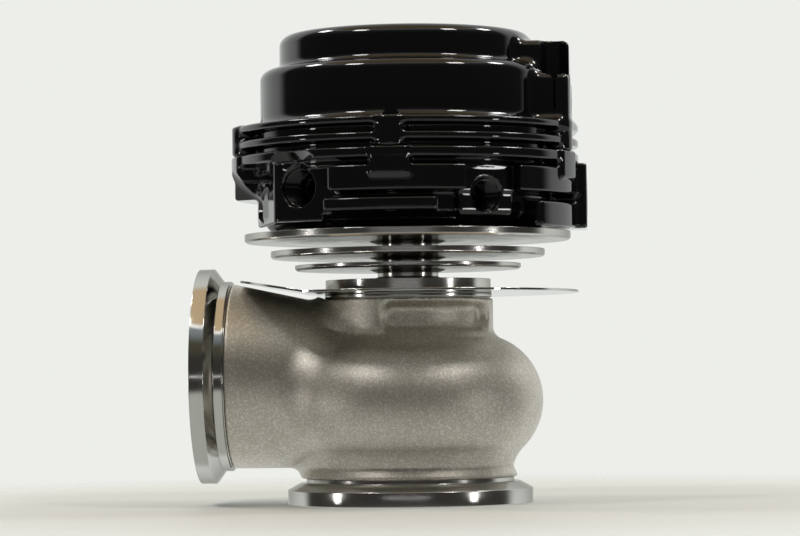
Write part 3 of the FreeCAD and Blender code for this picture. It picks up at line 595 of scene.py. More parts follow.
LUG_ANGLES = [-92 + 72 * turn for turn in range(5)]
AIR, BLEED, FRONT, SIDE = -119, -164, -57, 0
BELT_START, BELT_END = -113.6, 196
SPLIT, FLOOR, CAP_FLANGE = 93.2, 75.1, 101.1
GROOVE, BELT_FOOT, LIP, BLOCK_FOOT = SPLIT - 4.6, SPLIT - 11.3, SPLIT - 2.8, SPLIT - 20.2
FRONT_FOOT, AIR_FOOT, LUG_FOOT = 75, 74.5, SPLIT - 7.3
FOOT, WALL, ROOT, RING, BOLT_CIRCLE = 38.6, 40.3, 42.0, 46.4, 43.0
FRONT_FACE, SIDE_FACE, AIR_FACE, BLEED_FACE, CAP_FACE = 41.8, 48.6, 40.5, 39.53, 44.4
FRONT_HALF, SIDE_HALF, LUG_HALF, LUG_REACH, CAP_LUG = 8.1, 7.8, 5.2, 47.4, 4.6
AIR_SIDE, BLEED_SIDE, JACKET_ROOT = 0.3, 7.84, 33
DRUM, DRUM_TOP, DOME, DOME_TOP = 39.4, 116.7, 34.1, 126.1
ROOT_FILLET, END_ROUND, PAD_ROUND, LUG_ROUND, BLOCK_ROUND, CUT_ROUND = 0.5, 2.2, 1.6, 1.5, 1.2, 0.3
PORT_CHAMFER, AIR_OFFSET, SCREW_HOLE, SCREW_CLEARANCE, COUNTERBORE = 0.6, -7.8, 2.02, 2.2, 3.7
HEAD_SEAT, LOWER_ROOM, UPPER_ROOM = CAP_FLANGE - 4.2, (35.0, 112.3), (29.7, 122.7)
# Port: angle, offset to its side, level, radius, and its floor and mouth from the stem.
PORTS = (
    (AIR, AIR_OFFSET, SPLIT - 9.5, 4.9, 32.5, AIR_FACE),
    (BLEED, 0, SPLIT - 14.8, 2.5, 34.5, 39.5),
    (FRONT, 0, SPLIT - 12.5, 4.1, 33.8, FRONT_FACE),
    (SIDE, 0, SPLIT - 11.5, 4.9, 40.6, SIDE_FACE))
# Drilling behind a port: angle, offset, level, radius, inner and outer end.
AIR_DRILLING = (AIR, AIR_OFFSET, SPLIT - 9.5, 2.5, 26.5, 33.5)
COOLANT_DRILLINGS = (
    (FRONT, 0, SPLIT - 12.5, 1.5, 32.3, 34),
    (SIDE, 0, SPLIT - 11.5, 1.5, 32.3, 41))
# Pad: first and last angle, low and high level.
PADS = (
    (-115, -76, FLOOR + 1.7, FLOOR + 5.1),
    (-38, 6, BLOCK_FOOT, SPLIT - 13.7))
# Round rooms of the housing: radius and floor.
HOUSING_ROOMS = ((21.02, 76.1), (31.5, 78.2), (38.62, SPLIT - 1))


def slab(value, low, high):
    """Distance to a layer between two levels."""
    return np.maximum(low - value, value - high)


def facing(x, y, angle):
    """Coordinates outwards and sideways for something that looks out at an angle."""
    turn = math.radians(angle)
    return x * math.cos(turn) + y * math.sin(turn), y * math.cos(turn) - x * math.sin(turn)


def sector(x, y, start, end, radius):
    """Distance along a circle to the part of it between two angles."""
    out, side = facing(x, y, (start + end) / 2)
    return (np.abs(np.arctan2(side, out)) - math.radians((end - start) / 2)) * radius


def bored(across, up, out, radius, floor, mouth):
    """Port bored inwards to a floor, with a small chamfer at its mouth."""
    reach = np.hypot(across, up)
    hole = np.maximum(reach - radius, floor - out)
    chamfer = reach - radius - PORT_CHAMFER + (mouth - out)
    return np.minimum(hole, np.maximum(chamfer, mouth - 2 - out))


def drilled(x, y, z, angle, offset, level, radius, low, high):
    """Straight drilling between two distances from the stem."""
    out, side = facing(x, y, angle)
    return np.maximum(np.hypot(side - offset, z - level) - radius, slab(out, low, high))


def housing_skin(x, y, z, r, lip, edge, fillet):
    """Outside of the housing: wall, lips, belt, blocks, pads and lugs."""
    wall = np.maximum(r - WALL, (r - FOOT - z + FLOOR) / math.sqrt(2))
    skin = meet(wall, slab(z, FLOOR, SPLIT))
    skin = np.minimum(skin, meet(r - ROOT, slab(z, GROOVE, SPLIT)))
    skin = round_union(skin, meet(r - RING, slab(z, LIP, SPLIT), lip), ROOT_FILLET)

    out, side = facing(x, y, FRONT)
    beside = np.abs(side) - FRONT_HALF
    belt = meet(r - RING, slab(z, BELT_FOOT, GROOVE), lip)
    belt = meet(belt, sector(x, y, BELT_START, BELT_END, RING), END_ROUND)
    belt = meet(belt, -np.maximum(FRONT_FACE - out, beside), CUT_ROUND)
    skin = round_union(skin, belt, fillet)
    front = meet(out - FRONT_FACE, np.maximum(beside, z - GROOVE), edge)
    front = meet(front, FRONT_FOOT - z, END_ROUND)
    skin = round_union(skin, np.maximum(front, JACKET_ROOT - out), fillet)

    block = meet(x - SIDE_FACE, np.abs(y) - SIDE_HALF, BLOCK_ROUND)
    block = meet(meet(block, slab(z, BLOCK_FOOT, LIP), edge), JACKET_ROOT - x)
    skin = round_union(skin, block, fillet)
    for start, end, low, high in PADS:
        pad = meet(r - RING, sector(x, y, start, end, RING), PAD_ROUND)
        pad = meet(pad, slab(z, low, high), lip)
        skin = round_union(skin, np.maximum(pad, WALL - 4 - r), fillet)

    out, side = facing(x, y, AIR)
    far_out, far_side = facing(x, y, BLEED)
    block = meet(out - AIR_FACE, far_out - BLEED_FACE, edge)
    block = meet(block, np.maximum(side + AIR_SIDE, AIR_FOOT - z), edge)
    block = np.maximum(np.maximum(block, -BLEED_SIDE - far_side), z - SPLIT)
    skin = round_union(skin, block, ROOT_FILLET)
    for angle in LUG_ANGLES:
        out, side = facing(x, y, angle)
        lug = np.maximum(r - LUG_REACH, JACKET_ROOT - out)
        lug = meet(lug, np.abs(side) - LUG_HALF, LUG_ROUND)
        skin = round_union(skin, meet(lug, slab(z, LUG_FOOT, SPLIT), edge), fillet)
    return np.maximum(skin, z - SPLIT)


def housing_room(x, y, z, r):
    """Inside of the housing: bonnet bore, rooms, coolant channel, ports and drillings."""
    room = r - 15.02
    for radius, floor in HOUSING_ROOMS:
        room = np.minimum(room, np.maximum(r - radius, floor - z))
    room = np.minimum(room, np.maximum(r - 36.02 - np.maximum(z - 72.5, 0), z - FLOOR))
    room = np.minimum(room, np.maximum(slab(r, 23, 33.8), z - 76.5))
    for angle, offset, level, *bore in PORTS:
        out, side = facing(x, y, angle)
        room = np.minimum(room, bored(side - offset, z - level, out, *bore))
    room = np.minimum(room, drilled(x, y, z, *AIR_DRILLING))
    for drilling in COOLANT_DRILLINGS:
        angle, _, level, radius, low, _ = drilling
        room = np.minimum(room, drilled(x, y, z, *drilling))
        out, side = facing(x, y, angle)
        drop = np.hypot(out - low, side) - radius
        room = np.minimum(room, np.maximum(drop, slab(z, FLOOR - 1, level)))
    for angle in LUG_ANGLES:
        out, side = facing(x, y, angle)
        room = np.minimum(room, np.hypot(out - BOLT_CIRCLE, side) - SCREW_HOLE)
    return room


def housing_field(x, y, z, lip, edge, fillet):
    """Distance to the skin of the actuator's housing."""
    r = np.hypot(x, y)
    return np.maximum(housing_skin(x, y, z, r, lip, edge, fillet), -housing_room(x, y, z, r))


def cap_field(x, y, z, lip, edge, fillet):
    """Distance to the skin of the actuator's cap."""
    r = np.hypot(x, y)
    skin = meet(r - ROOT, slab(z, SPLIT, CAP_FLANGE))
    for low, high in ((SPLIT + 1.7, SPLIT + 3.8), (CAP_FLANGE - 1.9, CAP_FLANGE)):
        skin = round_union(skin, meet(r - RING, slab(z, low, high), lip), ROOT_FILLET)
    skin = round_union(skin, meet(r - DRUM, slab(z, SPLIT + 3, DRUM_TOP), 2.9), 2.7)
    skin = round_union(skin, meet(r - DOME, slab(z, SPLIT + 3, DOME_TOP), 3.0), 2.0)
    steps = []
    for half_width, top in ((18.8, DRUM_TOP - 2.9), (16.2, DOME_TOP - 3.3)):
        step = meet(x - CAP_FACE, np.abs(y) - half_width, 2.0)
        steps.append(meet(step, slab(z, CAP_FLANGE - 3, top), 2.0))
    skin = round_union(skin, np.maximum(round_union(*steps, 1.0), -x), fillet)

    room = bored(y, z - CAP_FLANGE - 6.8, x, 4.9, 33.0, CAP_FACE)
    for radius, top in (LOWER_ROOM, UPPER_ROOM):
        room = np.minimum(room, np.maximum(r - radius, z - top))
    for angle in LUG_ANGLES:
        out, side = facing(x, y, angle)
        reach = np.hypot(out - BOLT_CIRCLE, side)
        lug = meet(reach - CAP_LUG, slab(z, SPLIT, CAP_FLANGE), edge)
        skin = round_union(skin, lug, 1.0)
        counterbore = np.maximum(reach - COUNTERBORE, HEAD_SEAT - z)
        room = np.minimum(room, np.minimum(reach - SCREW_CLEARANCE, counterbore))
    return np.maximum(np.maximum(skin, SPLIT - z), -room)


class WASTEGATE_OT_actuator(bpy.types.Operator):
    """Builds the housing and cap of the actuator with their rounded lips and fillets"""

    bl_idname = "wastegate.actuator"
    bl_label = "Actuator housing and cap"

    def execute(self, context):
        size = context.scene.wastegate_actuator
        lip, edge = size.lip_round / MM, size.edge_round / MM
        for name, node, shape, fillet in (
                ("housing_casting", "actuator_housing", housing_field, size.fillet / MM),
                ("cap_casting", "top_cap", cap_field, size.cap_fillet / MM)):

            def field(x, y, z):
                return shape(x / MM, y / MM, z / MM, lip, edge, fillet) * MM

            low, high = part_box(node)
            skin_piece(name, node, "black_anodised", field, low, high, size.grid_step, 0.05 * MM)
        return {"FINISHED"}


# ---------------------------------------------------------------- shader helpers

UPRIGHT, CENTRE, SIDEWAYS = (0.0, 0.0, 1.0), (0.0, 0.0, 0.0), (1.0, 0.0, 0.0)


class Graph:
    """Short way to place nodes in a tree and to join them."""

    def __init__(self, tree):
        self.tree = tree
        self.column = 0

    def add(self, kind, sockets=None, **settings):
        """Places a node, sets its options, and sets or joins its inputs."""
        node = self.tree.nodes.new(kind)
        node.location = (220 * (self.column % 8), -260 * (self.column // 8))
        self.column += 1
        for name, value in settings.items():
            setattr(node, name, value)
        for name, value in (sockets or {}).items():
            if isinstance(value, bpy.types.NodeSocket):
                self.join(value, node.inputs[name])
            else:
                node.inputs[name].default_value = value
        return node

    def math(self, operation, a, b=0.0):
        """Math node on numbers or sockets."""
        return self.add("ShaderNodeMath", {0: a, 1: b}, operation=operation).outputs[0]

    def ramp(self, value, low, high):
        """Smooth step from 0 to 1 between two limits of a value."""
        return self.add("ShaderNodeMapRange", {"Value": value, "From Min": low, "From Max": high},
                        interpolation_type="SMOOTHSTEP").outputs[0]

    def spread(self, value, low, high):
        """Number that follows a mask between two values."""
        sockets = {"Value": value, "To Min": low, "To Max": high}
        return self.add("ShaderNodeMapRange", sockets).outputs[0]

    def blend(self, share, a, b):
        """Mix of two colours."""
        return self.add("ShaderNodeMix", {0: share, 6: a, 7: b}, data_type="RGBA").outputs[2]

    def place(self):
        """Position on the object."""
        return self.add("ShaderNodeTexCoord").outputs["Object"]

    def join(self, source, target):
        """Links an output to an input."""
        self.tree.links.new(source, target)


def colour(values, level=1.0):
    """Opaque colour, scaled by a level."""
    return tuple(level * value for value in values) + (1.0,)


def paler(values, level, lift=0.0):
    """Opaque colour, scaled and lifted, and held at white."""
    return tuple(min(1.0, level * value + lift) for value in values) + (1.0,)


def new_group(name, inputs, outputs):
    """Node group with inputs given as (label, kind, default) and numbers for its outputs."""
    tree = bpy.data.node_groups.new(name, "ShaderNodeTree")
    for label, kind, default in inputs:
        socket = tree.interface.new_socket(label, in_out="INPUT", socket_type=kind)
        socket.default_value = default
    for label in outputs:
        tree.interface.new_socket(label, in_out="OUTPUT", socket_type="NodeSocketFloat")
    graph = Graph(tree)
    return graph, graph.add("NodeGroupInput").outputs, graph.add("NodeGroupOutput").inputs


def grain_group():
    """Fine pits and soft patches of a blasted or moulded skin, and scattered specks that mark
    painted glints.
    """
    graph, given, result = new_group(
        "Blasted grain",
        [("Pit size", "NodeSocketFloat", 0.3 * MM), ("Patch size", "NodeSocketFloat", 12 * MM)],
        ("Height", "Patches", "Painted glints"))
    place = graph.place()
    fine = graph.math("DIVIDE", 1.0, given["Pit size"])
    wide = graph.math("DIVIDE", 1.0, given["Patch size"])
    pits = graph.add("ShaderNodeTexNoise", {"Vector": place, "Scale": fine, "Detail": 3.0,
                                            "Roughness": 0.65})
    cells = graph.add("ShaderNodeTexVoronoi", {"Vector": place, "Scale": fine})
    cell_height = graph.math("MULTIPLY", cells.outputs["Distance"], 0.5)
    patches = graph.add("ShaderNodeTexNoise", {"Vector": place, "Scale": wide, "Detail": 4.0,
                                               "Roughness": 0.55})
    graph.join(graph.math("ADD", pits.outputs["Fac"], cell_height), result["Height"])
    graph.join(patches.outputs["Fac"], result["Patches"])
    # Mask of scattered specks, used on the casting for painted glints.
    graph.join(graph.ramp(cells.outputs["Color"], 0.60, 0.72), result["Painted glints"])
    return graph.tree


def turning_group():
    """Fine tool marks round an axis: rings of height and of sheen."""
    graph, given, result = new_group(
        "Turning marks",
        [("Along", "NodeSocketVector", UPRIGHT), ("Centre", "NodeSocketVector", CENTRE),
         ("Pitch", "NodeSocketFloat", 0.12 * MM)],
        ("Height", "Sheen"))

    def vector_math(operation, output, sockets):
        return graph.add("ShaderNodeVectorMath", sockets, operation=operation).outputs[output]

    local = vector_math("SUBTRACT", 0, {0: graph.place(), 1: given["Centre"]})
    axial = vector_math("DOT_PRODUCT", "Value", {0: local, 1: given["Along"]})
    on_axis = vector_math("SCALE", 0, {0: given["Along"], "Scale": axial})
    radial = vector_math("DISTANCE", "Value", {0: local, 1: on_axis})
    path = graph.add("ShaderNodeCombineXYZ", {"X": graph.math("DIVIDE", radial, given["Pitch"]),
                                              "Y": graph.math("DIVIDE", axial, given["Pitch"])})
    for label, scale, detail in (("Height", 1.0, 2.0), ("Sheen", 0.07, 1.0)):
        noise = graph.add("ShaderNodeTexNoise", {"Vector": path.outputs[0], "Scale": scale,
                                                 "Detail": detail})
        graph.join(noise.outputs["Fac"], result[label])
    return graph.tree


def handling_group():
    """Faint smears and dust that change how glossy a surface is."""
    graph, given, result = new_group(
        "Handling",
        [("Smear size", "NodeSocketFloat", 18 * MM), ("Dust size", "NodeSocketFloat", 0.5 * MM)],
        ("Smear", "Dust"))
    place = graph.place()
    wide = graph.math("DIVIDE", 1.0, given["Smear size"])
    fine = graph.math("DIVIDE", 1.0, given["Dust size"])
    smear = graph.add("ShaderNodeTexNoise", {"Vector": place, "Scale": wide, "Detail": 5.0,
                                             "Roughness": 0.6, "Distortion": 0.6})
    dust = graph.add("ShaderNodeTexVoronoi", {"Vector": place, "Scale": fine})
    spot = graph.ramp(dust.outputs["Distance"], 0.10, 0.04)
    chosen = graph.ramp(dust.outputs["Color"], 0.86, 0.88)
    graph.join(graph.ramp(smear.outputs["Fac"], 0.40, 0.72), result["Smear"])
    graph.join(graph.math("MULTIPLY", spot, chosen), result["Dust"])
    return graph.tree


class Finish(Graph):
    """New material whose shader takes its plain numbers from a dictionary."""

    def __init__(self, name, look):
        self.material = bpy.data.materials.new(name)
        self.material.use_nodes = True
        self.material.node_tree.nodes.clear()
        super().__init__(self.material.node_tree)
        self.output = self.add("ShaderNodeOutputMaterial").inputs["Surface"]
        self.shader = self.add("ShaderNodeBsdfPrincipled", look)
        self.join(self.shader.outputs[0], self.output)

    def group(self, name, sockets=None):
        """Outputs of a shared group placed in this material with its own values."""
        return self.add("ShaderNodeGroup", sockets, node_tree=bpy.data.node_groups[name]).outputs

    def surface(self, tone, gloss, height, strength, distance, normal=None):
        """Joins a colour, a roughness and a bump to the shader."""
        sockets = {"Strength": strength, "Distance": distance, "Height": height}
        if normal is not None:
            sockets["Normal"] = normal
        self.join(tone, self.shader.inputs["Base Color"])
        self.join(gloss, self.shader.inputs["Roughness"])
        self.join(self.add("ShaderNodeBump", sockets).outputs[0], self.shader.inputs["Normal"])

    def rounded(self, radius):
        """Normal of an edge that is rounded a little."""
        return self.add("ShaderNodeBevel", {"Radius": radius}, samples=6).outputs[0]


# ---------------------------------------------------------------- finishes

DUST_COLOUR = (0.35, 0.34, 0.32, 1.0)
WEAVE_SCALE = 420.0
MOULDED = {"patches": 6 * MM, "level": 1.7, "lift": 0.01, "share": 0.8, "gloss": (-0.08, 0.12),
           "bump": (0.5, 0.04 * MM)}
DRAWN = {"patches": 5 * MM, "level": 1.6, "lift": 0.0, "share": 0.7, "gloss": (-0.06, 0.1),
         "bump": (0.25, 0.02 * MM)}


def cast_finish(finish):
    """Bead blasted stainless casting: warm grey, bumped grain with painted glints as pale specks,
    faint patches.
    """
    graph = Finish("cast_stainless", {"Metallic": 1.0})
    grain = graph.group("Blasted grain", {"Pit size": finish.grain_size, "Patch size": 14 * MM})
    tone = graph.blend(graph.spread(grain["Patches"], 0.1, 0.9), colour(finish.cast_colour),
                       colour(finish.cast_colour, 0.72))
    # Pale specks: painted glints, colour that stands in for light sparkling on the blasted grain.
    tone = graph.blend(graph.math("MULTIPLY", grain["Painted glints"], 0.34), tone,
                       paler(finish.cast_colour, 1.9))
    gloss = graph.spread(grain["Patches"], 0.42, 0.54)
    graph.surface(tone, gloss, grain["Height"], 1.0, 0.038 * MM)


def turned_finish(name, tint, edge_radius, roughness, axis, centre, pitch, depth):
    """Turned and polished metal with fine tool marks round an axis."""
    graph = Finish(name, {"Metallic": 1.0, "Specular Tint": (0.5, 0.5, 0.48, 1.0)})
    marks = graph.group("Turning marks", {"Along": axis, "Centre": centre, "Pitch": pitch * MM})
    handled = graph.group("Handling")
    tone = graph.blend(graph.math("MULTIPLY", marks["Sheen"], 0.5),
                       colour(tint), colour(tint, 0.86))
    gloss = graph.spread(marks["Sheen"], roughness * 0.8, roughness * 1.4)
    gloss = graph.math("ADD", gloss, graph.math("MULTIPLY", handled["Smear"], 0.04))
    graph.surface(tone, gloss, marks["Height"], 0.35, depth * MM, graph.rounded(edge_radius))


def anodised_finish(finish):
    """Polished aluminium anodised deep black, with faint smears and specks of dust."""
    graph = Finish("black_anodised", {"Metallic": 0.0, "IOR": 1.55})
    handled = graph.group("Handling", {"Smear size": 22 * MM, "Dust size": 0.7 * MM})
    marks = graph.group("Turning marks", {"Pitch": 0.35 * MM})
    tone = graph.blend(graph.math("MULTIPLY", handled["Dust"], 0.35),
                       colour(finish.anodise_colour), DUST_COLOUR)
    gloss = graph.spread(handled["Smear"], 0.035, 0.075)
    gloss = graph.math("ADD", gloss, graph.math("MULTIPLY", handled["Dust"], 0.3))
    graph.surface(tone, gloss, marks["Height"], 0.12, 0.006 * MM,
                  graph.rounded(1.4 * finish.edge_radius))


def grained_finish(name, tint, kind, roughness, pit_size, look):
    """Matt moulded rubber and graphite, or drawn wire and oxidised screws with worn patches."""
    graph = Finish(name, look)
    grain = graph.group("Blasted grain", {"Pit size": pit_size * MM, "Patch size": kind["patches"]})
    tone = graph.blend(graph.spread(grain["Patches"], 0.0, kind["share"]), colour(tint),
                       paler(tint, kind["level"], kind["lift"]))
    gloss = graph.spread(grain["Patches"], *(roughness + change for change in kind["gloss"]))
    graph.surface(tone, gloss, grain["Height"], *kind["bump"])


def cloth_finish(finish):
    """Rubber-coated cloth whose weave shows through the coat, as bumps and as painted shade in the
    hollows between the threads.
    """
    graph = Finish("diaphragm_cloth", {"Metallic": 0.0, "Sheen Weight": 0.2})
    place = graph.place()
    weave = [graph.add("ShaderNodeTexWave", {"Vector": place, "Scale": WEAVE_SCALE},
                       bands_direction=direction).outputs["Fac"] for direction in ("X", "Y")]
    height = graph.math("MAXIMUM", *weave)
    # Low parts of the weave are painted darker: painted shade between the threads.
    tone = graph.blend(height, colour(finish.cloth_colour, 0.55), colour(finish.cloth_colour))
    gloss = graph.spread(graph.group("Handling")["Smear"], 0.55, 0.75)
    graph.surface(tone, gloss, height, 0.4, 0.05 * MM)


def finish_named(name):
    """Material made by the finishes operator."""
    material = bpy.data.materials.get(name)
    if material is None:
        raise RuntimeError("make the finishes before this piece: " + name + " is missing")
    return material


class WASTEGATE_OT_finishes(bpy.types.Operator):
    """Makes every finish and gives each solid part its own"""

    bl_idname = "wastegate.finishes"
    bl_label = "Finishes"

    def execute(self, context):
        finish = context.scene.wastegate_finish
        for node in frame["nodes"].values():
            node.data.materials.clear()
        for material in list(bpy.data.materials):
            bpy.data.materials.remove(material)
        for make_group in (grain_group, turning_group, handling_group):
            make_group()
        outlet = (0.0, 0.0, context.scene.wastegate_cast.tube_height)
        steel = finish.steel_colour
        sheet = [1.04 * value for value in steel]
        for name, tint, roughness, axis, centre, pitch, depth in (
                ("polished_stainless", steel, 0.14, UPRIGHT, CENTRE, 0.22, 0.014),
                ("outlet_stainless", steel, 0.10, SIDEWAYS, outlet, 0.16, 0.010),
                ("polished_sheet", sheet, 0.05, UPRIGHT, CENTRE, 0.30, 0.004),
                ("guide_bronze", finish.bronze_colour, 0.22, UPRIGHT, CENTRE, 0.12, 0.012),
                ("piston_aluminium", (0.62, 0.62, 0.63), 0.24, UPRIGHT, CENTRE, 0.20, 0.014)):
            turned_finish(name, tint, finish.edge_radius, roughness, axis, centre, pitch, depth)
        metal, matt = {"Metallic": 1.0}, {"Metallic": 0.0}
        soft = {"Metallic": 0.0, "Sheen Weight": 0.1}
        for name, tint, kind, roughness, pit_size, look in (
                ("graphite_seal", (0.05, 0.05, 0.055), MOULDED, 0.45, 0.2, matt),
                ("seal_rubber", (0.02, 0.02, 0.02), MOULDED, 0.60, 0.3, soft),
                ("spring_wire", (0.30, 0.30, 0.31), DRAWN, 0.30, 0.25, metal),
                ("screw_steel", (0.035, 0.035, 0.038), DRAWN, 0.32, 0.25, metal)):
            grained_finish(name, tint, kind, roughness, pit_size, look)
        cast_finish(finish)
        anodised_finish(finish)
        cloth_finish(finish)
        for part in frame["record"]["subparts"]:
            mesh = frame["nodes"][part["node"]].data
            mesh.materials.append(finish_named(part["material_slot"]))
            mesh.shade_smooth()
            mesh.set_sharp_from_angle(angle=math.radians(28))
        return {"FINISHED"}


# ---------------------------------------------------------------- flanges, threads, springs

PER_THREAD_TURN, PER_COIL_TURN, WIRE_SIDES = 40, 48, 14
THREAD_ROOT, THREAD_CREST, THREAD_RUNOUT, THREAD_LAP = 0.46, 0.08, 1.2, 0.03 * MM
CLOSED_TURN, CLOSED_RISE, CLOSED_FOOT = 0.8, 0.75, 0.25
# Turned outlines as radius and distance along the axis, in mm.
INLET_OUTLINE = (
    (25.02, 0.0), (33.0, 0.0), (33.0, 3.9), (29.6, 5.75), (28.0, 5.75), (28.0, 6.95), (25.02, 6.95))
OUTLET_OUTLINE = (
    (22.0, 47.5), (24.6, 47.5), (24.6, 47.8), (25.6, 47.8), (25.6, 50.1), (25.8, 50.1),
    (29.0, 52.4), (29.0, 56.2), (22.0, 56.2))
RING_OUTLINE = (
    (17.5, 54.7), (22.0, 54.7), (22.0, 55.1), (22.5, 55.1), (22.5, 56.1), (17.5, 56.1))


class WASTEGATE_OT_flanges(bpy.types.Operator):
    """Builds the machined inlet and outlet flanges and the ring on the neck"""

    bl_idname = "wastegate.flanges"
    bl_label = "Machined flanges"

    def execute(self, context):
        turned = context.scene.wastegate_turned
        upright = Matrix.Identity(4)
        outlet = along((0, 0, context.scene.wastegate_cast.tube_height), (-1, 0, 0))
        for name, corners, place, finish in (
                ("inlet_flange", INLET_OUTLINE, upright, "polished_stainless"),
                ("outlet_flange", OUTLET_OUTLINE, outlet, "outlet_stainless"),
                ("neck_ring", RING_OUTLINE, upright, "polished_stainless")):
            outline = rounded_outline([(r * MM, z * MM) for r, z in corners], turned.edge_round)
            piece = turned_object(name, outline, turned.segments, place)
            dress(piece, BODY, "polished_stainless", finish)
            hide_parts("valve_housing")
        return {"FINISHED"}


class WASTEGATE_OT_threads(bpy.types.Operator):
    """Forms the thread in every port of the actuator and of the cap"""

    bl_idname = "wastegate.threads"
    bl_label = "Port threads"

    def execute(self, context):
        thread = context.scene.wastegate_thread
        for mount in frame["record"]["mounts"]:
            if mount["kind"] != "threaded_hole":
                continue
            radius = mount["dims"]["r_mm"] * MM
            length = mount["dims"]["length_mm"] * MM
            pitch = thread.pipe_pitch if radius > 3 * MM else thread.small_pitch
            turns = (length - THREAD_RUNOUT * pitch) / pitch
            stations = helix(radius, turns, round(turns * PER_THREAD_TURN),
                             lambda part: (part - 0.5) * turns * pitch,
                             along(mount["pos_m"], mount["axis"]))
            root, crest = THREAD_ROOT * pitch, THREAD_CREST * pitch
            section = ((THREAD_LAP, -root), (-thread.depth, -crest), (-thread.depth, crest),
                       (THREAD_LAP, root))
            dress(sweep(mount["name"] + "_thread", stations, section), BODY, "black_anodised")
        return {"FINISHED"}


class WASTEGATE_OT_springs(bpy.types.Operator):
    """Winds the two valve springs, with their end turns closed and ground"""

    bl_idname = "wastegate.springs"
    bl_label = "Valve springs"

    def execute(self, context):
        coil = context.scene.wastegate_spring
        for node, radius, wire, turns in (
                ("outer_spring", coil.outer_radius, coil.outer_wire, coil.outer_turns),
                ("inner_spring", coil.inner_radius, coil.inner_wire, coil.inner_turns)):
            low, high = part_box(node)
            bottom, top = low.z, high.z
            height = top - bottom
            stations = helix(radius, turns, round(turns * PER_COIL_TURN),
                             lambda part: bottom + self.level(part * turns, turns, wire, height))
            angles = [2 * math.pi * side / WIRE_SIDES for side in range(WIRE_SIDES)]
            section = [(wire / 2 * math.cos(angle), wire / 2 * math.sin(angle)) for angle in angles]
            piece = sweep(node + "_wire", stations, section)
            for vertex in piece.data.vertices:
                vertex.co.z = min(max(vertex.co.z, bottom), top)
            dress(piece, BODY, "spring_wire")
            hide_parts(node)
            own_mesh(piece)
        return {"FINISHED"}

    def level(self, turn, turns, wire, height):
        """Height of the wire's middle after some turns; the end turns lie nearly flat."""
        rise, foot = CLOSED_RISE * wire, CLOSED_FOOT * wire
        if turn < CLOSED_TURN:
            return foot + rise * turn / CLOSED_TURN
        if turn > turns - CLOSED_TURN:
            return height - foot - rise * (turns - turn) / CLOSED_TURN
        part = (turn - CLOSED_TURN) / (turns - 2 * CLOSED_TURN)
        return foot + rise + (height - 2 * (foot + rise)) * part


class WASTEGATE_OT_diaphragm(bpy.types.Operator):
    """Forms the rolling diaphragm that joins the piston to the housing"""

    bl_idname = "wastegate.diaphragm"
    bl_label = "Diaphragm"

    def execute(self, context):
        low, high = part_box("diaphragm")
        thick = context.scene.wastegate_spring.cloth_thickness
        hole, rim_z = 3.05 * MM, high.z - 1.0 * MM
        corners = [(hole, low.z), (28.6 * MM, low.z), (30.7 * MM, rim_z - thick),
                   (30.9 * MM, rim_z), (high.x, rim_z), (high.x, high.z), (30.1 * MM, high.z),
                   (28.2 * MM, low.z + thick + 2.3 * MM), (28.0 * MM, low.z + thick),
                   (hole, low.z + thick)]
        outline = rounded_outline(corners, 0.8 * MM, steps=5)
        piece = turned_object("rolling_diaphragm", outline, 120)
        piece.data.materials.append(finish_named("diaphragm_cloth"))
        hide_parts("diaphragm")
        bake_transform(piece)
        return {"FINISHED"}


# ---------------------------------------------------------------- stage

ROOM_TINT = (1.05, 1.0, 0.92)
# Bands of the room over the object: where each starts and is full, as the sine of its height.
ROOM_BANDS = (
    (0.30, 0.50, (0.085, 0.080, 0.055)),
    (0.56, 0.74, (0.26, 0.30, 0.32)),
    (0.785, 0.795, (1.4, 1.4, 1.4)),
    (0.825, 0.835, (0.72, 0.55, 0.34)))
HORIZON = (0.9, 0.9, 0.9, 1.0)
GROUND_TINT, SCREEN_TINT = (0.60, 0.62, 0.58), (0.97, 1.0, 0.97)
FLOOR_HALF, FLOOR_FADE = 0.5, (0.10, 0.26)
LAMP_DISTANCE, LAMP_TINT = 0.9, (1.0, 0.99, 0.97)
HIGH_TARGET, LOW_TARGET = 0.07, 0.035
# Lamp: name, azimuth from the camera and elevation in degrees, width, height, share, target.
LAMPS = (
    ("lamp_left", -52, 52, 0.16, 0.12, 1.0, HIGH_TARGET),
    ("lamp_far_left", -108, 50, 0.16, 0.12, 1.0, HIGH_TARGET),
    ("lamp_right", 51, 52, 0.16, 0.12, 1.0, HIGH_TARGET),
    ("lamp_far_right", 105, 50, 0.16, 0.12, 1.0, HIGH_TARGET),
    ("low_lamp_left", -71, -2.5, 0.065, 0.17, 0.35, LOW_TARGET),
    ("low_lamp_right", 60, -2.5, 0.065, 0.17, 0.35, LOW_TARGET))


def studio_world(stage):
    """Pale background to the camera; round the object a dim room with a pale screen behind."""
    world = bpy.data.worlds.new("studio")
    bpy.context.scene.world = world
    world.use_nodes = True
    world.node_tree.nodes.clear()
    graph = Graph(world.node_tree)
    output = graph.add("ShaderNodeOutputWorld")
    direction = graph.add("ShaderNodeTexCoord").outputs["Generated"]
    split = graph.add("ShaderNodeSeparateXYZ", {0: direction})
    up, away = split.outputs["Z"], split.outputs["Y"]
    tone = colour(ROOM_TINT, stage.room_level)
    for low, high, shade in ROOM_BANDS:
        tone = graph.blend(graph.ramp(up, low, high), tone, colour(shade))
    line = graph.ramp(graph.math("ABSOLUTE", up), 0.022, 0.012)
    line = graph.math("MULTIPLY", line, graph.ramp(away, -0.90, -0.97))
    tone = graph.blend(line, tone, HORIZON)
    tone = graph.blend(graph.ramp(up, -0.22, -0.34), tone, colour(GROUND_TINT, stage.screen_level))
    tone = graph.blend(graph.ramp(away, 0.24, 0.46), tone, colour(SCREEN_TINT, stage.screen_level))
    rays = graph.add("ShaderNodeLightPath").outputs["Is Camera Ray"]
    tone = graph.blend(rays, tone, colour(stage.background))
    shade = graph.add("ShaderNodeBackground", {"Color": tone})
    graph.join(shade.outputs[0], output.inputs["Surface"])


